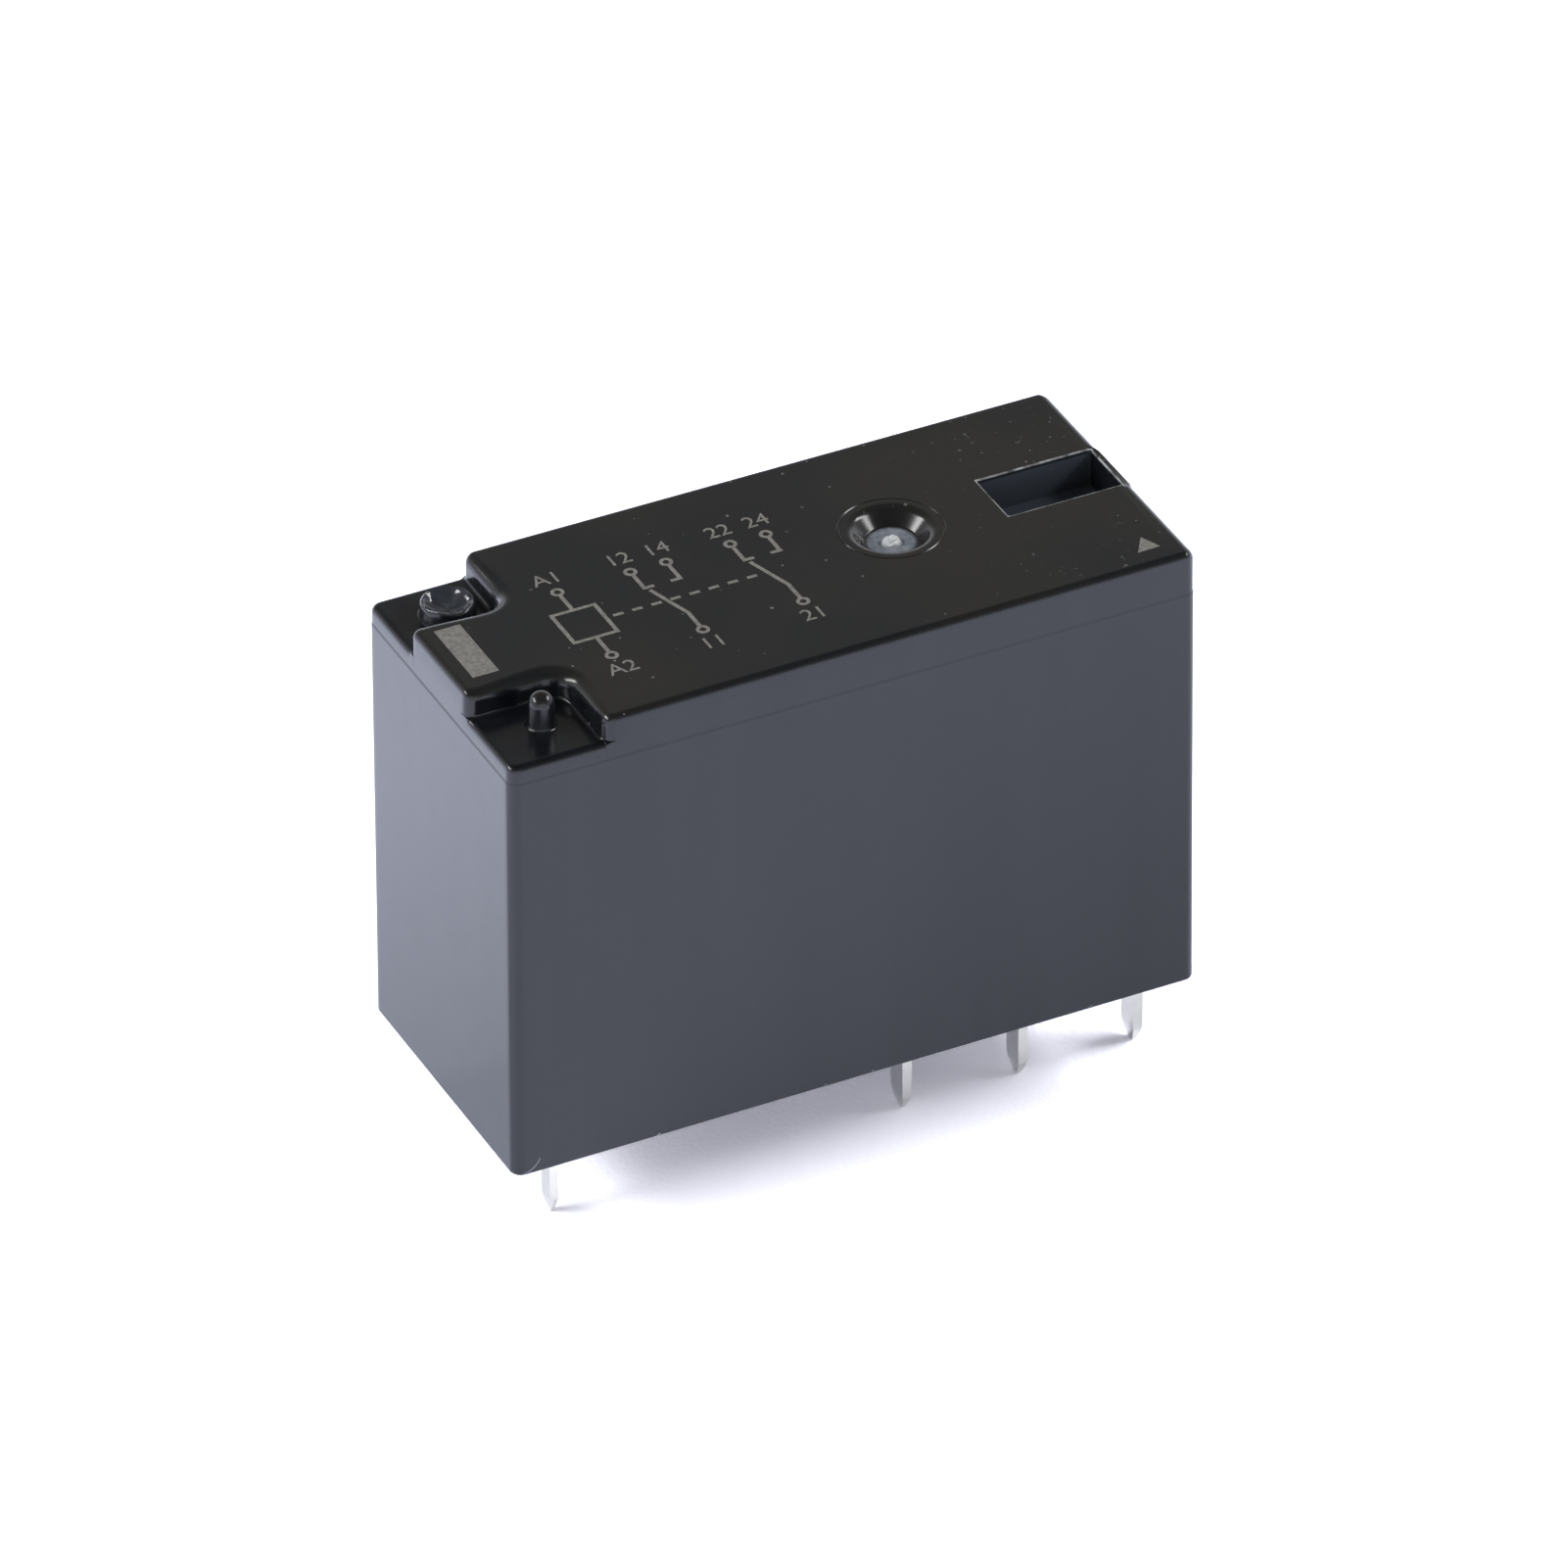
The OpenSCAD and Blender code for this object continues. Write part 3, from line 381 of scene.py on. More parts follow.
steps += [ring_at(slot_line, slot_out, SLOT_RIM * (1 - np.sin(a)), slot_top - SLOT_RIM * (1 - np.cos(a)))
          for a in quarter[::3]]
steps += [ring_at(slot_line, slot_out, -SLOT_LEAN - SLOT_FOOT * (1 - np.cos(a)),
                  slot_floor + SLOT_FOOT * (1 - np.sin(a))) for a in quarter[::3]]
steps += [ring_at(slot_line, slot_out, -SLOT_LEAN - SLOT_FOOT - RIM_FLAT, slot_floor)]
cover.grid(np.stack(steps, axis=1), closed_u=True)
cover.fill([steps[-1]])
slot_rim = steps[0]
print("slot from x", round(sx0, 2), "to", round(sx1, 2), "depth", SLOT_DEPTH)

# %% Gate dimple
DIMPLE = np.array([4.77, 0.36])
DIMPLE_R, DIMPLE_DEPTH, GATE_R, GATE_FOOT = 1.8, 0.6, 0.34, 0.1


def round_about(turns):
    """Equal angles once round a circle."""
    return np.linspace(0, 2 * np.pi, turns, endpoint=False)


def turned(profile, centre, turns=96):
    """Profile points (radius, height) turned about an upright axis."""
    angle = round_about(turns)[:, None]
    r, z = np.array(profile, float).T
    return np.stack([centre[0] + r * np.cos(angle), centre[1] + r * np.sin(angle), z + 0 * angle], axis=-1)


LEAN, RIM_R, BASE_R, BOWL = np.radians(47), 0.5, 0.1, 0.1
rim_drop, base_rise = RIM_R * (1 - np.cos(LEAN)), BASE_R * (1 - np.cos(LEAN))
straight_run = (DIMPLE_DEPTH - rim_drop - base_rise) / np.tan(LEAN)
base_c = DIMPLE_R - (RIM_R + BASE_R) * np.sin(LEAN) - straight_run
RING_GROOVE = ((0.3, 0), (0.27, 0), (0.235, 0.03), (0.2, 0), (0.17, 0), (RIM_FLAT, 0))
bowl = [(DIMPLE_R + r, -z) for r, z in RING_GROOVE]
bowl += [(DIMPLE_R - RIM_R * np.sin(a), -RIM_R * (1 - np.cos(a))) for a in np.linspace(0, LEAN, 12)]
bowl += [(base_c + BASE_R * np.sin(a), -DIMPLE_DEPTH + BASE_R * (1 - np.cos(a)))
         for a in np.linspace(LEAN, np.arctan(2 * BOWL / base_c), 7)]
bowl += [(r, -DIMPLE_DEPTH - BOWL * (1 - (r / base_c) ** 2))
         for r in np.linspace(base_c, GATE_R + GATE_FOOT, 9)[1:]]
bowl = np.array(bowl) + [0, CASE_H]
cover.grid(turned(bowl, DIMPLE), closed_u=True, flip=True)
print("dimple floor radius in mm:", round(base_c, 2))

# %% Torn stub of the gate
GATE_H, TEAR = 0.16, 0.035
stub = np.array([(GATE_R + GATE_FOOT, 0.005), (GATE_R + 0.03, 0.03), (GATE_R, GATE_H * 0.7),
                 (GATE_R * 0.85, GATE_H), (GATE_R * 0.55, GATE_H * 0.7), (GATE_R * 0.3, GATE_H * 0.45),
                 (0.02, GATE_H * 0.4)])
gate = turned(stub + [0, bowl[-1, 1] - 0.005], DIMPLE)
torn = np.array([0, 0, 0.3, 1, 1, 0.8, 0.5]) * TEAR
angle = round_about(len(gate))
ragged = np.sin(angle + 0.6) + 0.7 * np.sin(3 * angle) + 0.5 * np.sin(7 * angle + 1)
gate[:, :, 2] += torn * ragged[:, None]
cover.grid(gate, closed_u=True, flip=True)
cover.fill([gate[:, -1]])
dimple_rim = turned(bowl[:1], DIMPLE)[:, 0]
print("stub from", round(gate[..., 2].min(), 2), "to", round(gate[..., 2].max(), 2), "mm above the board")

# %% Top face
cover.fill([top_edge, slot_rim, dimple_rim])
print("faces up to the top:", len(cover.faces))

# %% [markdown]
# ## Post and vent boss
# In the near pocket stands a round post with a domed end. In the far pocket a vent was melted shut,
# which left a low boss with a dished, uneven top. Both are profiles turned about an upright axis,
# with a small fillet at the foot. They belong to the same moulding, so they join the cover's mesh.

# %% Post
POST = np.array([2.33 - CASE_L / 2, -(CASE_W / 2 - 2.2)])
POST_R, POST_H, FILLET = 0.5, 1.5, 0.16
foot = [(POST_R + FILLET * (1 - np.sin(a)), FILLET * (1 - np.cos(a))) for a in quarter[::2]]
dome = [(POST_R * np.cos(a), POST_H - POST_R + POST_R * np.sin(a))
        for a in np.radians(np.linspace(0, 89, 14))]
post = np.array([(POST_R + FILLET + 0.03, -0.004)] + foot + dome) + [0, FLOOR]
cover.grid(turned(post, POST, 48), closed_u=True, flip=True)
print("points down the post:", len(post))

# %% Vent boss and the finished cover
VENT, VENT_R, SAG = POST * [1, -1], 1.075, 0.035
melt = [(VENT_R + 0.13, -0.004), (VENT_R + 0.1, 0.0), (VENT_R + 0.03, 0.03), (VENT_R, 0.1),
        (VENT_R - 0.02, 0.35), (VENT_R - 0.03, 0.56), (VENT_R - 0.05, 0.65), (VENT_R - 0.1, 0.7),
        (VENT_R - 0.17, 0.68), (VENT_R - 0.27, 0.58), (VENT_R - 0.45, 0.43), (VENT_R - 0.7, 0.34),
        (0.15, 0.31), (0.01, 0.31)]
boss = turned(np.array(melt) + [0, FLOOR], VENT, 72)
sag = np.array([0, 0, 0, 0.1, 0.3, 0.5, 0.6, 0.7, 1, 1.2, 1.2, 0.9, 0.3, 0]) * SAG
angle = round_about(len(boss))
waves = np.sin(2 * angle + 0.4) + 0.8 * np.sin(3 * angle + 2) + 0.5 * np.sin(5 * angle)
boss[:, :, 2] += sag * waves[:, None]
cover.grid(boss, closed_u=True, flip=True)
relay_cover = cover.make()
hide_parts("cover")

# %% [markdown]
# ## The print on the top
# The top carries a light laser mark. Here it is a plain one: a bar and a triangle that show which
# way round the relay sits, and the usual diagram of a coil and two change-over contacts. Each stroke
# is a flat strip, a hundredth of a millimetre thick, so it stays a shape of its own in any view.

# %% Strokes
INK, STROKE = 0.012, 0.16
DIAGRAM = np.array([-5.0, -0.2])
BAR = [(-13.68, -1.57), (-12.6, -1.57), (-12.6, 1.87), (-13.68, 1.87)]
TRIANGLE = [(12.33, -5.34), (13.3, -5.31), (12.91, -4.45)]
marks = Shell("top_print")


def plate(outline):
    """A flat outline raised by the thickness of the ink, with its edge."""
    outline = np.array(outline, float)
    low, high = (np.column_stack([outline, np.full(len(outline), CASE_H + z)]) for z in (-INK / 2, INK))
    marks.grid(np.stack([high, low], axis=1), closed_u=True, flip=True)
    marks.fill([high])


def ribbon(points, width=STROKE):
    """A line of straight pieces with a width: each point moves along the bisector of its two pieces."""
    p = np.array(points, float) + DIAGRAM
    way = np.diff(p, axis=0) / np.linalg.norm(np.diff(p, axis=0), axis=1)[:, None]
    before, after = np.concatenate([way[:1], way]), np.concatenate([way, way[-1:]])
    side = np.stack([-(before + after)[:, 1], (before + after)[:, 0]], axis=1)
    side *= (width / (1 + np.sum(before * after, axis=1)) / 2)[:, None]
    plate(np.concatenate([p - side, (p + side)[::-1]]))


def frame_mark(outer_loop, inner_loop):
    """The area between two flat loops, raised by the thickness of the ink."""
    loops = [np.column_stack([np.array(q, float) + DIAGRAM, np.full(len(q), CASE_H + INK)])
             for q in (outer_loop, inner_loop)]
    marks.fill(loops)
    for loop, turn in zip(loops, (True, False)):
        marks.grid(np.stack([loop, loop - [0, 0, 1.5 * INK]], axis=1), closed_u=True, flip=turn)


plate(BAR)
plate(TRIANGLE)
print("faces of the bar and the triangle:", len(marks.faces))

# %% Diagram of the coil and the contacts
COIL_X, COIL_HALF = -3.4, np.array([0.98, 1.08])
POLES, REACH, ROW, BEND, NOSE = (0.4, 4.6), 0.75, 2.35, 1.12, 0.35
PIVOT_Y, TIP_X, TIP_Y = -1.1, -0.62, 0.92
DASHES, DASH_START, DASH_STEP, DASH = 8, -2.2, 0.8, 0.42
RING, RING_LINE, RING_N = 0.27, 0.14, 24
LEAD = ROW - RING
corner = np.array([(-1, -1), (1, -1), (1, 1), (-1, 1)])
frame_mark(corner * COIL_HALF + [COIL_X, 0], corner * (COIL_HALF - STROKE) + [COIL_X, 0])
for y in (1, -1):
    ribbon([(COIL_X, COIL_HALF[1] * y), (COIL_X, LEAD * y)])
for x in DASH_START + DASH_STEP * np.arange(DASHES):
    ribbon([(x, 0.0), (x + DASH, 0.0)])
for x in POLES:
    ribbon([(x, -LEAD), (x, PIVOT_Y), (x + TIP_X, TIP_Y)])
    for d in (-1, 1):
        ribbon([(x + d * REACH, LEAD), (x + d * REACH, BEND), (x + d * NOSE, BEND)])
circle = np.stack([np.cos(round_about(RING_N)), np.sin(round_about(RING_N))], axis=1)
contacts = [(x + d, y) for x in POLES for d, y in ((0, -ROW), (-REACH, ROW), (REACH, ROW))]
for centre in [(COIL_X, ROW), (COIL_X, -ROW)] + contacts:
    frame_mark(circle * RING + centre, circle * (RING - RING_LINE) + centre)
top_print = marks.make(merge=1e-5)

# %% Terminal numbers
LABEL_Y, LABEL_REACH, LABEL_SIZE = 3.3, 0.8, 1.05
labels = {"A1": (COIL_X, LABEL_Y), "A2": (COIL_X, -LABEL_Y)}
for pole, x in zip("12", POLES):
    labels[pole + "1"] = (x, -LABEL_Y)
    labels[pole + "2"] = (x - LABEL_REACH, LABEL_Y)
    labels[pole + "4"] = (x + LABEL_REACH, LABEL_Y)


def lettering(name, text, place, size):
    """A text turned into a thin solid mesh, with its place in the mesh."""
    curve = bpy.data.curves.new(name, "FONT")
    curve.body, curve.size, curve.align_x, curve.align_y = text, size * MM, "CENTER", "CENTER"
    curve.extrude = INK * MM / 2
    source = bpy.data.objects.new(name, curve)
    mesh = bpy.data.meshes.new_from_object(source)
    bpy.data.objects.remove(source)
    mesh.transform(Matrix.Translation(Vector((place[0], place[1], CASE_H + BOARD + INK / 2)) * MM))
    obj = bpy.data.objects.new(name, mesh)
    bpy.context.scene.collection.objects.link(obj)
    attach(obj, "case")
    return obj


numbers = [lettering("number_" + text.lower(), text, DIAGRAM + np.array(place), LABEL_SIZE)
           for text, place in labels.items()]
print("numbers:", [n.name for n in numbers])

# %% [markdown]
# ## Finishes
# Each finish is a small node tree on the piece's own coordinates, in metres. Noise at two or three
# scales breaks up colour, gloss and surface, as moulding, rolling and plating do on the real pieces.
# The tree could be clicked together by hand, but short helpers keep each finish to a few lines.

# %% Material helpers
def finish_tree(name):
    """A new material with its Principled shader, and a function that adds linked nodes."""
    material = bpy.data.materials.new(name)
    material.use_nodes = True
    tree = material.node_tree
    shader = tree.nodes["Principled BSDF"]

    def add(kind, links=(), **values):
        node = tree.nodes.new(kind)
        for key, value in values.items():
            if key.startswith("in_"):
                node.inputs[int(key[3:])].default_value = value
            else:
                setattr(node, key, value)
        for socket, source in links:
            tree.links.new(source, node.inputs[socket])
        return node

    return material, tree, shader, add


def speckle(add, coordinate, scale, detail=3.0):
    """Noise of the given size in millimetres."""
    frequency = 1.0 / (scale * MM)
    return add("ShaderNodeTexNoise", [("Vector", coordinate)], in_2=frequency, in_3=detail).outputs["Fac"]


def ramp(add, source, low, high, start=0.3, end=0.7):
    """A colour ramp between two values or colours."""
    node = add("ShaderNodeValToRGB", [("Fac", source)])
    for stop, position, value in zip(node.color_ramp.elements, (start, end), (low, high)):
        stop.color = (value, value, value, 1.0) if np.isscalar(value) else (*value, 1.0)
        stop.position = position
    return node.outputs["Color"]


def bump(add, tree, shader, source, height_mm):
    """Raises the surface by source times the height."""
    node = add("ShaderNodeBump", [("Height", source)], in_0=1.0, in_1=height_mm * MM)
    tree.links.new(node.outputs["Normal"], shader.inputs["Normal"])
    return node


# %% Arithmetic helpers
def number(add, operation, a, b=None):
    """A Math node on a socket and a second socket, a plain number or nothing."""
    node = add("ShaderNodeMath", [(0, a)], operation=operation)
    if isinstance(b, float):
        node.inputs[1].default_value = b
    elif b is not None:
        node.id_data.links.new(b, node.inputs[1])
    return node.outputs[0]


def vector(add, operation, a, b=(0.0, 0.0, 0.0)):
    """The outputs of a Vector Math node on a socket and a constant vector."""
    return add("ShaderNodeVectorMath", [(0, a)], operation=operation, in_1=b).outputs


def times(add, a, b):
    """The product of two masks."""
    return number(add, "MULTIPLY", a, b)


def span(add, source, zero, one):
    """Runs from 0 to 1 while the source runs from one value to the other."""
    return add("ShaderNodeMapRange", [("Value", source)], in_1=zero, in_2=one).outputs[0]


def span_mm(add, source, zero, one):
    """As span, for a source in metres and two values in millimetres."""
    return span(add, source, zero * MM, one * MM)


def mixed(add, factor, a, b):
    """The colour a where the factor is 0 and b where it is 1; each is a socket or a constant colour."""
    node = add("ShaderNodeMix", [("Factor", factor)], data_type="RGBA")
    for place, value in ((6, a), (7, b)):
        if isinstance(value, tuple):
            node.inputs[place].default_value = (*value, 1.0)
        else:
            node.id_data.links.new(value, node.inputs[place])
    return node.outputs[2]


# %% Masks of places
def above(add, coordinate, low, high):
    """Runs from 0 to 1 between two heights in mm above the board; a falling pair gives what is below."""
    z = add("ShaderNodeSeparateXYZ", [(0, coordinate)]).outputs[2]
    return span_mm(add, z, BOARD + low, BOARD + high)


def near(add, coordinate, centre, inner, outer):
    """1 within the inner distance of an upright axis, in millimetres, falling to 0 at the outer one."""
    flat = vector(add, "MULTIPLY", coordinate, (1.0, 1.0, 0.0))[0]
    away = vector(add, "DISTANCE", flat, (centre[0] * MM, centre[1] * MM, 0.0))["Value"]
    return span_mm(add, away, outer, inner)


def box_gap(add, coordinate, centre, half):
    """Distance to the edge of an upright box in metres: positive outside and negative inside."""
    offset = vector(add, "SUBTRACT", coordinate, (centre[0] * MM, centre[1] * MM, 0.0))[0]
    size = vector(add, "ABSOLUTE", offset)[0]
    over = vector(add, "SUBTRACT", size, (half[0] * MM, half[1] * MM, 0.0))[0]
    parts = add("ShaderNodeSeparateXYZ", [(0, over)]).outputs
    return number(add, "MAXIMUM", parts[0], parts[1])


def specks(add, coordinate, size, share, largest=0.22, soft=0.06):
    """Dust: spots of uneven size in the middle of a share of the cells of a Voronoi pattern."""
    cells = add("ShaderNodeTexVoronoi", [("Vector", coordinate)], in_2=1.0 / (size * MM)).outputs
    lots = add("ShaderNodeSeparateColor", [(0, cells["Color"])]).outputs
    reach = number(add, "MULTIPLY", lots[1], largest)
    inside = number(add, "SUBTRACT", reach, cells["Distance"])
    return times(add, span(add, inside, 0.0, soft), span(add, lots[0], 1 - share, 1.01 - share))


# %% [markdown]
# ## The finish of the cover
# The cover is one moulding, but it doesn't look the same all over: the sides left the mould with faint
# upright streaks, and the top is smoother. Where the top faces up, its shade is painted lighter and
# warmer than the sides: painted light from the warm room. Each face could have a material of its own,
# with a hard line between them. Here masks, worked out from where a point is and which way it faces,
# mix the shades of one material, so every change is soft. The bare plastic, with its painted top light,
# comes first.

# %% Cover finish: bare plastic
SIDE_SHADES = (0.003, 0.0037, 0.0056), (0.0075, 0.0086, 0.0108)
TOP_LIT_SHADES = (0.0088, 0.0096, 0.0112), (0.0132, 0.0128, 0.0118)
STREAK, STREAK_DRAW, DRIFT = 1.6, 0.1, 9.0
case_black, tree, shader, add = finish_tree("case_black")
here = add("ShaderNodeTexCoord").outputs
place = here["Object"]
along = add("ShaderNodeSeparateXYZ", [(0, place)]).outputs
facing = add("ShaderNodeSeparateXYZ", [(0, here["Normal"])]).outputs
facing_up = span(add, facing[2], 0.3, 0.9)
drawn_out = vector(add, "MULTIPLY", place, (1.0, 1.0, STREAK_DRAW))[0]
sides = ramp(add, speckle(add, drawn_out, STREAK), *SIDE_SHADES, 0.35, 0.75)
# Painted light: where the top faces up, its shade is lighter and warmer than the sides, for the warm room
# light on it.
lit_top = ramp(add, speckle(add, place, DRIFT), *TOP_LIT_SHADES, 0.4, 0.6)
lit_top_mask = times(add, facing_up, above(add, place, CASE_H - 0.9, CASE_H - 0.7))
bare = mixed(add, lit_top_mask, sides, lit_top)
print("nodes of the bare plastic:", len(tree.nodes))

# %% [markdown]
# ### Dimple, vent and slot
# The floor of the dimple is frosted, and its light bluish grey is partly a painted reflection of the
# room; the torn stub in it is pale. The vent melted as smooth as glass, and its slightly lighter bluish
# shade is a painted sheen. Dust dulls the walls of the slot, whose lighter bluish shade is also a painted
# sheen, and its edge is scuffed. Colours painted on the points of the mesh could mark these places, but
# the mesh has too few points there for a clean edge, so each mask is a distance from an upright axis or
# from an upright box.

# %% Cover finish: masks of the hollows
FROST_REFLECTION_R, STUB_R, MELT_RIM = (0.86, 1.0), (0.3, 0.42), 0.12
SCUFF_IN, SCUFF_OUT, SCUFF = (0.0, 0.02), (0.085, 0.06), 0.5
# Painted reflection: the frosted dimple floor gets a light bluish grey, partly for the room it reflects.
frost_and_reflection, torn_stub = near(add, place, DIMPLE, *FROST_REFLECTION_R), near(add, place, DIMPLE, *STUB_R)
frosted_reflection_shades = ramp(add, speckle(add, place, 0.25), (0.11, 0.125, 0.15), (0.21, 0.23, 0.27))
# Painted sheen: the melted vent gets a slightly lighter bluish shade for the sheen on it; the same mask sets
# its gloss and waves.
melt_and_sheen = near(add, place, VENT, VENT_R - MELT_RIM, VENT_R)
slot_gap = box_gap(add, place, ((sx0 + sx1) / 2, SLOT_Y), ((sx1 - sx0) / 2, SLOT_W / 2))
slot_edge = times(add, span_mm(add, slot_gap, *SCUFF_OUT), span_mm(add, slot_gap, *SCUFF_IN))
scuffed = times(add, slot_edge, span(add, speckle(add, place, SCUFF), 0.3, 0.6))
scuffs = times(add, scuffed, above(add, place, CASE_H - 0.25, CASE_H - 0.15))
in_slot = times(add, span_mm(add, slot_gap, 0.03, 0.0), above(add, place, CASE_H - 0.1, CASE_H - 0.2))
in_slot = times(add, in_slot, above(add, place, slot_floor - 0.3, slot_floor))
# Painted sheen: the slot walls get a lighter bluish shade for the sheen on them; the same mask also lets
# dust settle there.
slot_dust_and_sheen = times(add, in_slot, span(add, facing[0], -0.9, -0.1))
print("nodes with the hollows:", len(tree.nodes))

# %% [markdown]
# ### Dust and wear
# A relay that has been handled has dust in drifts on what faces up, pale flecks on the lower rim and
# along the contact end, and a curved scratch at a lower corner. A painted picture could hold them
# all, but it would stretch round the corners. Noise in space spreads them over every face alike,
# and the scratch is part of a thin ring about a point.

# %% Cover finish: dust
SPECK, SPECK_SHARE, MOTE, DRIFT_PATCH, SPECK_PATCH = 0.4, 0.16, 0.24, 2.2, 6.0
DRIFT_X = (5.0, 13.0)
patches = span(add, speckle(add, place, SPECK_PATCH), 0.4, 0.62)
strewn = times(add, specks(add, place, SPECK, SPECK_SHARE), patches)
motes = times(add, span(add, speckle(add, place, MOTE), 0.67, 0.74), facing_up)
drifts = span(add, speckle(add, place, DRIFT_PATCH), 0.42, 0.62)
end_drifts = times(add, span_mm(add, along[0], *DRIFT_X), drifts)
lying = number(add, "MAXIMUM", strewn, times(add, motes, end_drifts))
settled = number(add, "MAXIMUM", facing_up, slot_dust_and_sheen)
dusty = times(add, lying, span(add, settled, -0.15, 0.6))
print("nodes with the dust:", len(tree.nodes))

# %% Cover finish: flecks and the scratch
FLECK, CRUMB_Z, RIM_X = 0.26, (0.2, 0.1), (13.95, 14.2)
NICK, NICK_R, NICK_EDGE = (-14.3 * MM, 0.0, (BOARD + 0.945) * MM), 0.88, (0.045, 0.02)
NICK_X, NICK_Y, NICK_Z = (-14.25, -14.2), (-6.1, -6.2), (0.66, 0.56)
flecks = span(add, speckle(add, place, FLECK, 2.0), 0.65, 0.73)
crumbs = times(add, flecks, above(add, place, *CRUMB_Z))
end_rim = times(add, span_mm(add, along[0], *RIM_X), above(add, place, CASE_H - 0.36, CASE_H - 0.24))
rubbed = times(add, end_rim, flecks)
upright = vector(add, "MULTIPLY", place, (1.0, 0.0, 1.0))[0]
from_nick = vector(add, "DISTANCE", upright, NICK)["Value"]
off_ring = number(add, "ABSOLUTE", number(add, "SUBTRACT", from_nick, NICK_R * MM))
nick = times(add, span_mm(add, off_ring, *NICK_EDGE), above(add, place, *NICK_Z))
nick = times(add, nick, span_mm(add, along[1], *NICK_Y))
nick = times(add, nick, span_mm(add, along[0], *NICK_X))
print("nodes with the wear:", len(tree.nodes))

# %% [markdown]
# ### Colour, gloss and relief
# Like coats of paint, each mask lays its shade over what is there, and a later one covers an earlier
# one. The same masks say how dull a place is; None keeps the gloss below. The relief is only a hair of
# unevenness, because a moulded face is nearly flat, with deeper waves where the vent melted.

# %% Cover finish: colour, gloss and relief
COATS = [(frost_and_reflection, frosted_reflection_shades, 0.5), (torn_stub, (0.5, 0.52, 0.54), None), (melt_and_sheen, (0.03, 0.034, 0.042), 0.12),
         (slot_dust_and_sheen, (0.042, 0.05, 0.063), None), (scuffs, (0.32, 0.33, 0.34), 0.6),
         (dusty, (0.14, 0.148, 0.16), 0.8), (nick, (0.16, 0.175, 0.2), 0.5),
         (rubbed, (0.13, 0.137, 0.15), 0.7), (crumbs, (0.22, 0.23, 0.25), 0.7)]
GRAIN, GRAIN_LIFT, MELT_LIFT = 0.5, 0.0002, 0.12
satin = ramp(add, speckle(add, place, 1.2), 0.17, 0.22)
gloss = ramp(add, speckle(add, place, 5.0, 1.0), 0.19, 0.21)
colour, finish = bare, mixed(add, above(add, place, PARTING + 0.2, PARTING + 0.7), satin, gloss)
for mask, shade, dull in COATS:
    colour = mixed(add, mask, colour, shade)
    if dull is not None:
        finish = mixed(add, mask, finish, (dull, dull, dull))
tree.links.new(colour, shader.inputs["Base Color"])
tree.links.new(finish, shader.inputs["Roughness"])
wavy = mixed(add, melt_and_sheen, speckle(add, place, GRAIN, 4.0), speckle(add, place, GRAIN, 1.0))
lift = add("ShaderNodeMapRange", [("Value", melt_and_sheen)], in_3=GRAIN_LIFT * MM, in_4=MELT_LIFT * MM).outputs[0]
relief = bump(add, tree, shader, wavy, GRAIN_LIFT)
tree.links.new(lift, relief.inputs[1])
shader.inputs["IOR"].default_value = 1.5
shader.inputs["Specular IOR Level"].default_value = 0.4
relay_cover.data.materials.append(case_black)
print("nodes of the whole finish:", len(tree.nodes))

# %% [markdown]
# ## The finish of the print
# A laser foams the plastic to a dull, uneven grey. An image could show it, but here the strokes are
# pieces of their own, so a plain grey with a fine grain is enough.

# %% Print finish
MARK_SHADES, MARK_GRAIN = ((0.105, 0.1, 0.092), (0.19, 0.182, 0.168)), 0.15
mark_grey, tree, shader, add = finish_tree("laser_grey")
here = add("ShaderNodeTexCoord").outputs["Object"]
tree.links.new(ramp(add, speckle(add, here, MARK_GRAIN), *MARK_SHADES), shader.inputs["Base Color"])
shader.inputs["Roughness"].default_value = 0.7
for piece in [top_print, *numbers]:
    piece.data.materials.clear()
    piece.data.materials.append(mark_grey)
print("pieces in the grey of the mark:", 1 + len(numbers))

# %% [markdown]
# ## Metals and inner plastics
# The terminals are dipped in tin, the magnet parts are plated iron, the springs are bronze and the
# contacts silver. Every metal could be the same grey, but tint and gloss tell them apart, so each has
# its own two shades and its own range of gloss. The coil is one solid, and a wave along its axis gives
# it the turns of its wire. The base, the resin and the coil former are plain moulded plastics.

# %% Metals and inner plastics
def surface(name, shades, gloss, patch, sheen, grain, lift):
    """Two shades in patches, a gloss that varies at the size of sheen, and a fine grain, all in mm."""
    material, tree, shader, add = finish_tree(name)
    here = add("ShaderNodeTexCoord").outputs["Object"]
    tree.links.new(ramp(add, speckle(add, here, patch), *shades), shader.inputs["Base Color"])
    tree.links.new(ramp(add, speckle(add, here, sheen), *gloss), shader.inputs["Roughness"])
    bump(add, tree, shader, speckle(add, here, grain, 4.0), lift)
    return material, shader


def moulded(name, low, high, gloss, grain=0.5, lift=0.0012):
    """Moulded or cast plastic: slow colour drift and a fine grain."""
    material, shader = surface(name, (low, high), gloss, 3.0, 1.2, grain, lift)
    shader.inputs["IOR"].default_value = 1.5
    shader.inputs["Specular IOR Level"].default_value = 0.7
    return material


def plated(name, low, high, gloss, grain=0.3, lift=0.001):
    """Bare or plated metal: slightly uneven colour and gloss over a fine rolled grain."""
    material, shader = surface(name, (low, high), gloss, 1.0, 0.6, grain, lift)
    shader.inputs["Metallic"].default_value = 1.0
    return material


def wound(name, low, high, pitch=0.16):
    """Fine wire laid side by side: a wave along the axis of the coil, once for every turn."""
    material, tree, shader, add = finish_tree(name)
    here = add("ShaderNodeTexCoord").outputs["Object"]
    height = add("ShaderNodeSeparateXYZ", [(0, here)]).outputs[2]
    wave = number(add, "SINE", number(add, "MULTIPLY", height, 2 * math.pi / (pitch * MM)))
    tree.links.new(ramp(add, speckle(add, here, 0.4), low, high), shader.inputs["Base Color"])
    bump(add, tree, shader, wave, pitch / 6)
    shader.inputs["Metallic"].default_value, shader.inputs["Roughness"].default_value = 1.0, 0.3
    return material


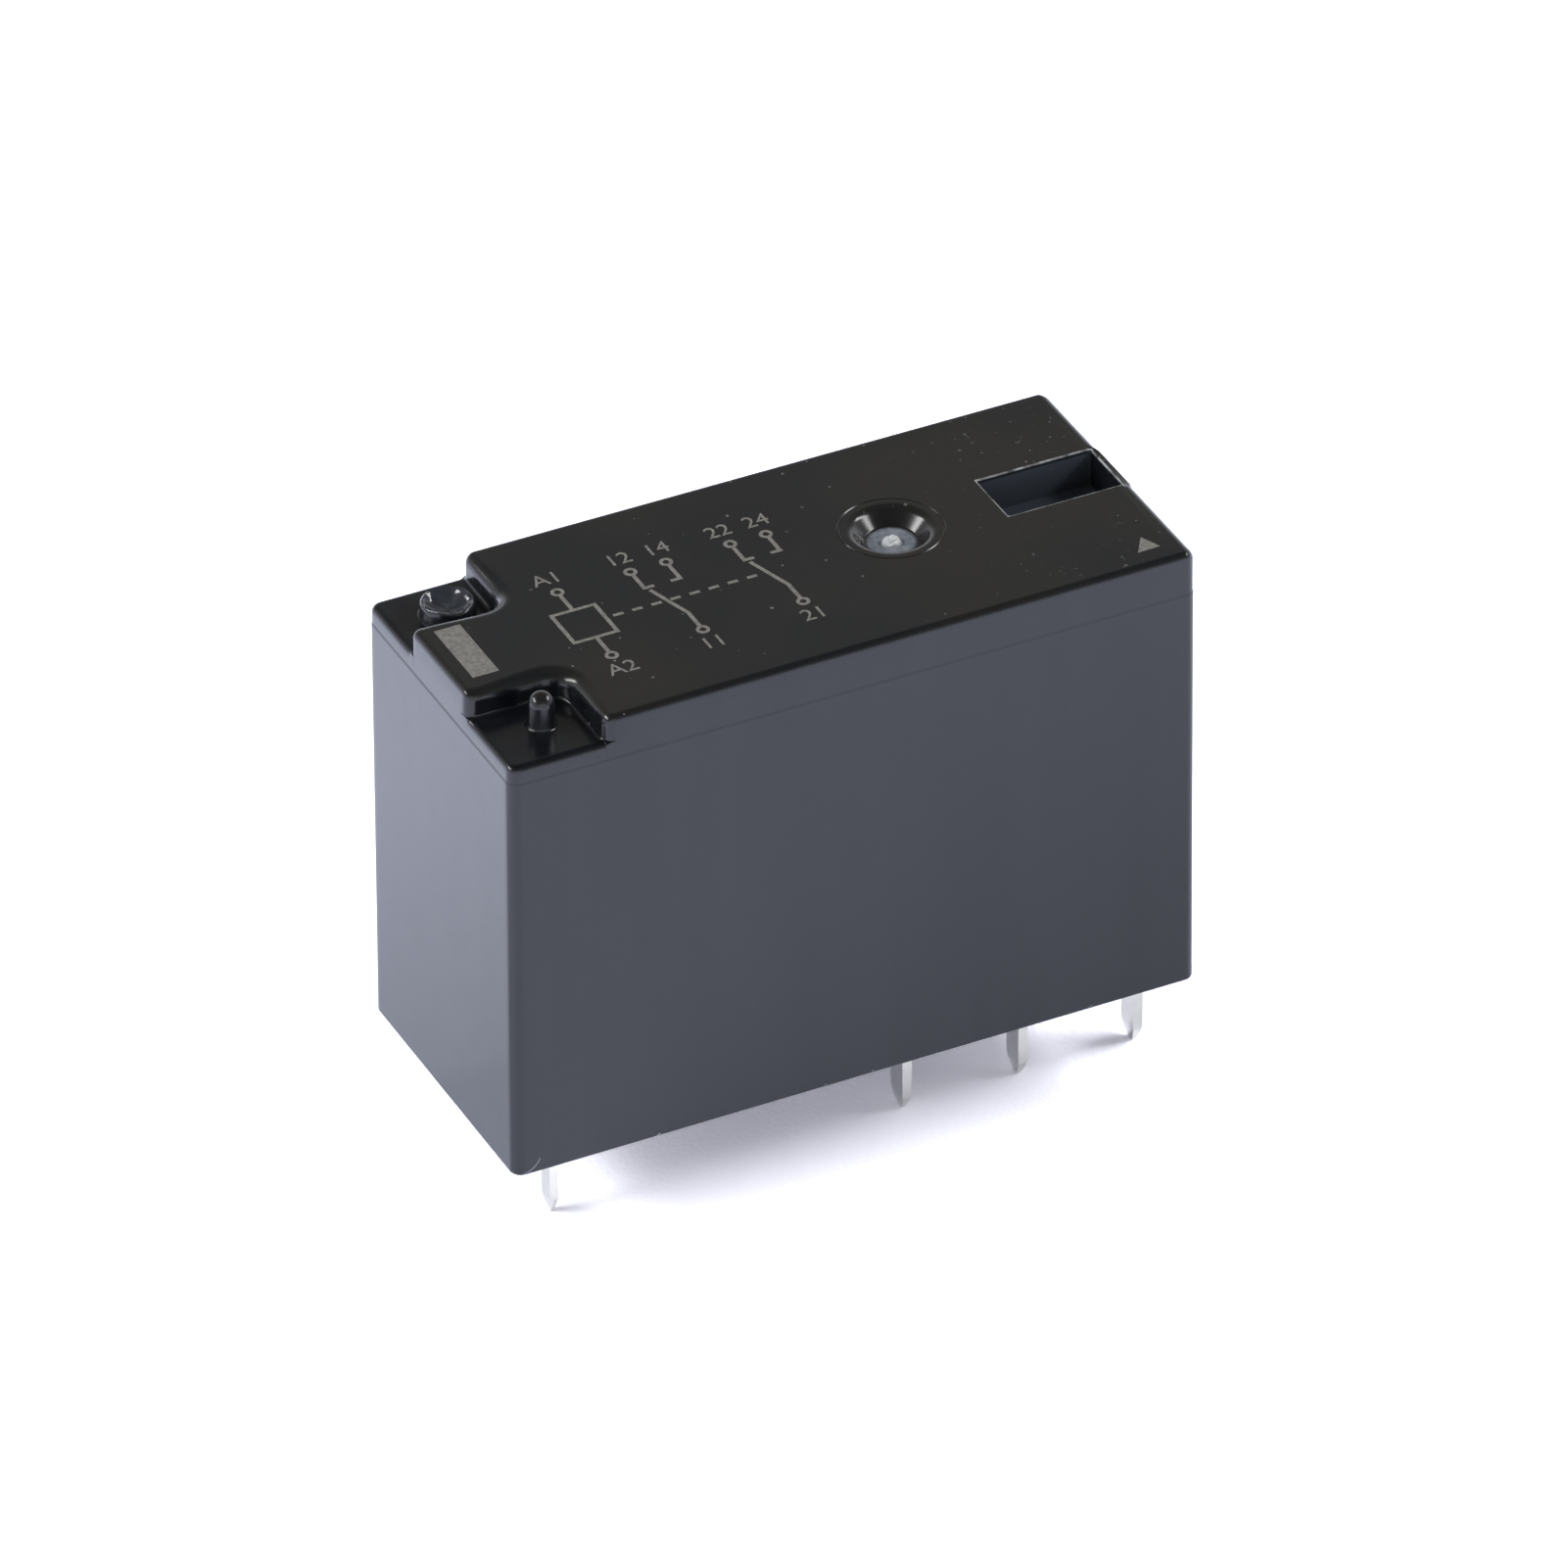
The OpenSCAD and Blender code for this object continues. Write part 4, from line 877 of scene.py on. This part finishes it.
# %% Finish of each slot
finishes = {
    "base_plastic": moulded("base_black", (0.02, 0.02, 0.022), (0.03, 0.03, 0.032), (0.45, 0.6)),
    "resin": moulded("sealing_resin", (0.016, 0.013, 0.01), (0.024, 0.02, 0.016), (0.12, 0.2), 2.5, 0.03),
    "coil_plastic": moulded("natural_plastic", (0.58, 0.53, 0.42), (0.66, 0.61, 0.5), (0.4, 0.5)),
    "wire": wound("copper_wire", (0.5, 0.19, 0.08), (0.62, 0.26, 0.12)),
    "iron": plated("plated_iron", (0.5, 0.5, 0.48), (0.6, 0.6, 0.58), (0.3, 0.42)),
    "spring_metal": plated("bronze_strip", (0.62, 0.43, 0.21), (0.7, 0.5, 0.27), (0.25, 0.35)),
    "tinned": plated("dipped_tin", (0.515, 0.49, 0.423), (0.59, 0.562, 0.485), (0.08, 0.15), 0.9, 0.001),
    "contact_metal": plated("contact_silver", (0.8, 0.79, 0.76), (0.88, 0.87, 0.85), (0.25, 0.35)),
}
slots = {row["node"]: row["material_slot"] for row in frame["record"]["subparts"]}
for node, slot in slots.items():
    if slot in finishes:
        nodes[node].data.materials.clear()
        nodes[node].data.materials.append(finishes[slot])
print("finishes:", sorted(finishes))

# %% [markdown]
# ## The floor
# The relay stands on its pins on white paper, bright enough to look pure white. More light would also
# wash out the relay, so the paper itself has one colour for the light it throws back, one for its
# mirror image in the tin and the glossy case, and one for the camera.

# %% Floor
FLOOR_SIZE, PAPER_GRAIN, PAPER_LIFT = 1.5, 0.25, 0.03
FLOOR_LIT, FLOOR_MIRRORED, FLOOR_SEEN = (0.8, 0.81, 0.9), (1.64, 1.74, 2.1), (1.72, 1.72, 1.9)
floor_mesh = bpy.data.meshes.new("floor")
corners = np.array([(-1, -1, 0), (1, -1, 0), (1, 1, 0), (-1, 1, 0)]) * FLOOR_SIZE
floor_mesh.from_pydata(corners.tolist(), [], [(0, 1, 2, 3)])
floor = bpy.data.objects.new("floor", floor_mesh)
bpy.context.scene.collection.objects.link(floor)
white, tree, shader, add = finish_tree("white_floor")
rays = add("ShaderNodeLightPath").outputs
paper = add("ShaderNodeTexCoord").outputs["Object"]
mirrored = mixed(add, rays["Is Glossy Ray"], FLOOR_LIT, FLOOR_MIRRORED)
bump(add, tree, shader, speckle(add, paper, PAPER_GRAIN, 2.0), PAPER_LIFT)
tree.links.new(mixed(add, rays["Is Camera Ray"], mirrored, FLOOR_SEEN), shader.inputs["Base Color"])
shader.inputs["Roughness"].default_value = 1.0
shader.inputs["Specular IOR Level"].default_value = 0.0
floor_mesh.materials.append(white)
print("floor in metres:", 2 * FLOOR_SIZE, "square")

# %% [markdown]
# ## The room
# Upright faces mirror the floor, and the top mirrors the dim room behind it, which is why the top looks
# darkest. A picture of a studio could surround the relay, but a ramp from bright near the floor to dark
# overhead gives the same soft change of tone.

# %% Room
WALLS = [(0.0, (1.3, 1.33, 1.43)), (0.2, (1.1, 1.13, 1.22)), (0.42, (0.32, 0.31, 0.29)),
         (0.64, (0.265, 0.258, 0.243)), (0.85, (0.05, 0.05, 0.05))]
world = bpy.data.worlds.new("room")
world.use_nodes = True
bpy.context.scene.world = world
tree = world.node_tree
paint = tree.nodes["Background"]
look = tree.nodes.new("ShaderNodeTexCoord")
rise = tree.nodes.new("ShaderNodeSeparateXYZ")
shade = tree.nodes.new("ShaderNodeValToRGB")
stops = shade.color_ramp.elements
stops[0].position, stops[1].position = WALLS[0][0], WALLS[-1][0]
for height, _ in WALLS[1:-1]:
    stops.new(height)
for stop, (_, tone) in zip(stops, WALLS):
    stop.color = (*tone, 1.0)
tree.links.new(look.outputs["Generated"], rise.inputs[0])
tree.links.new(rise.outputs[2], shade.inputs["Fac"])
tree.links.new(shade.outputs["Color"], paint.inputs["Color"])
paint.inputs["Strength"].default_value = 1.0
print("room from the floor to overhead:", [height for height, _ in WALLS])

# %% [markdown]
# ## The lamps
# Two soft boxes, left and right, each fill the shadow of the other, so only the floor under the case
# stays grey. One lamp on each side could do it, but the flat top would mirror it white from many sides.
# So each is in two parts: a box that is not mirrored, and above it a window that is, which gives the
# dimple and the post their highlights and leaves the flat top black from most low views. A weak card
# in front lifts the near side.

# %% Soft boxes
def soft_box(name, azimuth, height, distance, size, power, mirrored=True, aim=(0.0, 0.0, 0.012)):
    """An area lamp seen from aim at two angles in degrees, at a distance in metres, turned towards it."""
    a, h = np.radians([azimuth, height])
    place = Vector(aim) + distance * Vector((np.cos(a) * np.cos(h), np.sin(a) * np.cos(h), np.sin(h)))
    data = bpy.data.lights.new(name, "AREA")
    data.shape, data.size, data.size_y, data.energy = "RECTANGLE", size[0], size[1], power
    lamp = bpy.data.objects.new(name, data)
    bpy.context.scene.collection.objects.link(lamp)
    lamp.location = place
    lamp.visible_camera, lamp.visible_glossy = False, mirrored
    lamp.rotation_mode = "QUATERNION"
    lamp.rotation_quaternion = (Vector(aim) - place).to_track_quat("-Z", "Y")
    return lamp


lamps = [soft_box("left_box", 158, 26, 1.0, (0.7, 0.28), 3.2, mirrored=False),
         soft_box("left_window", 158, 32, 0.95, (0.7, 0.16), 6.2),
         soft_box("right_box", -12, 31, 1.0, (0.6, 0.33), 2.9, mirrored=False),
         soft_box("right_window", -12, 37, 0.95, (0.6, 0.18), 4.7),
         soft_box("front_card", -105, 18, 0.8, (0.8, 0.3), 0.6)]
print("lamps:", [lamp.name for lamp in lamps])
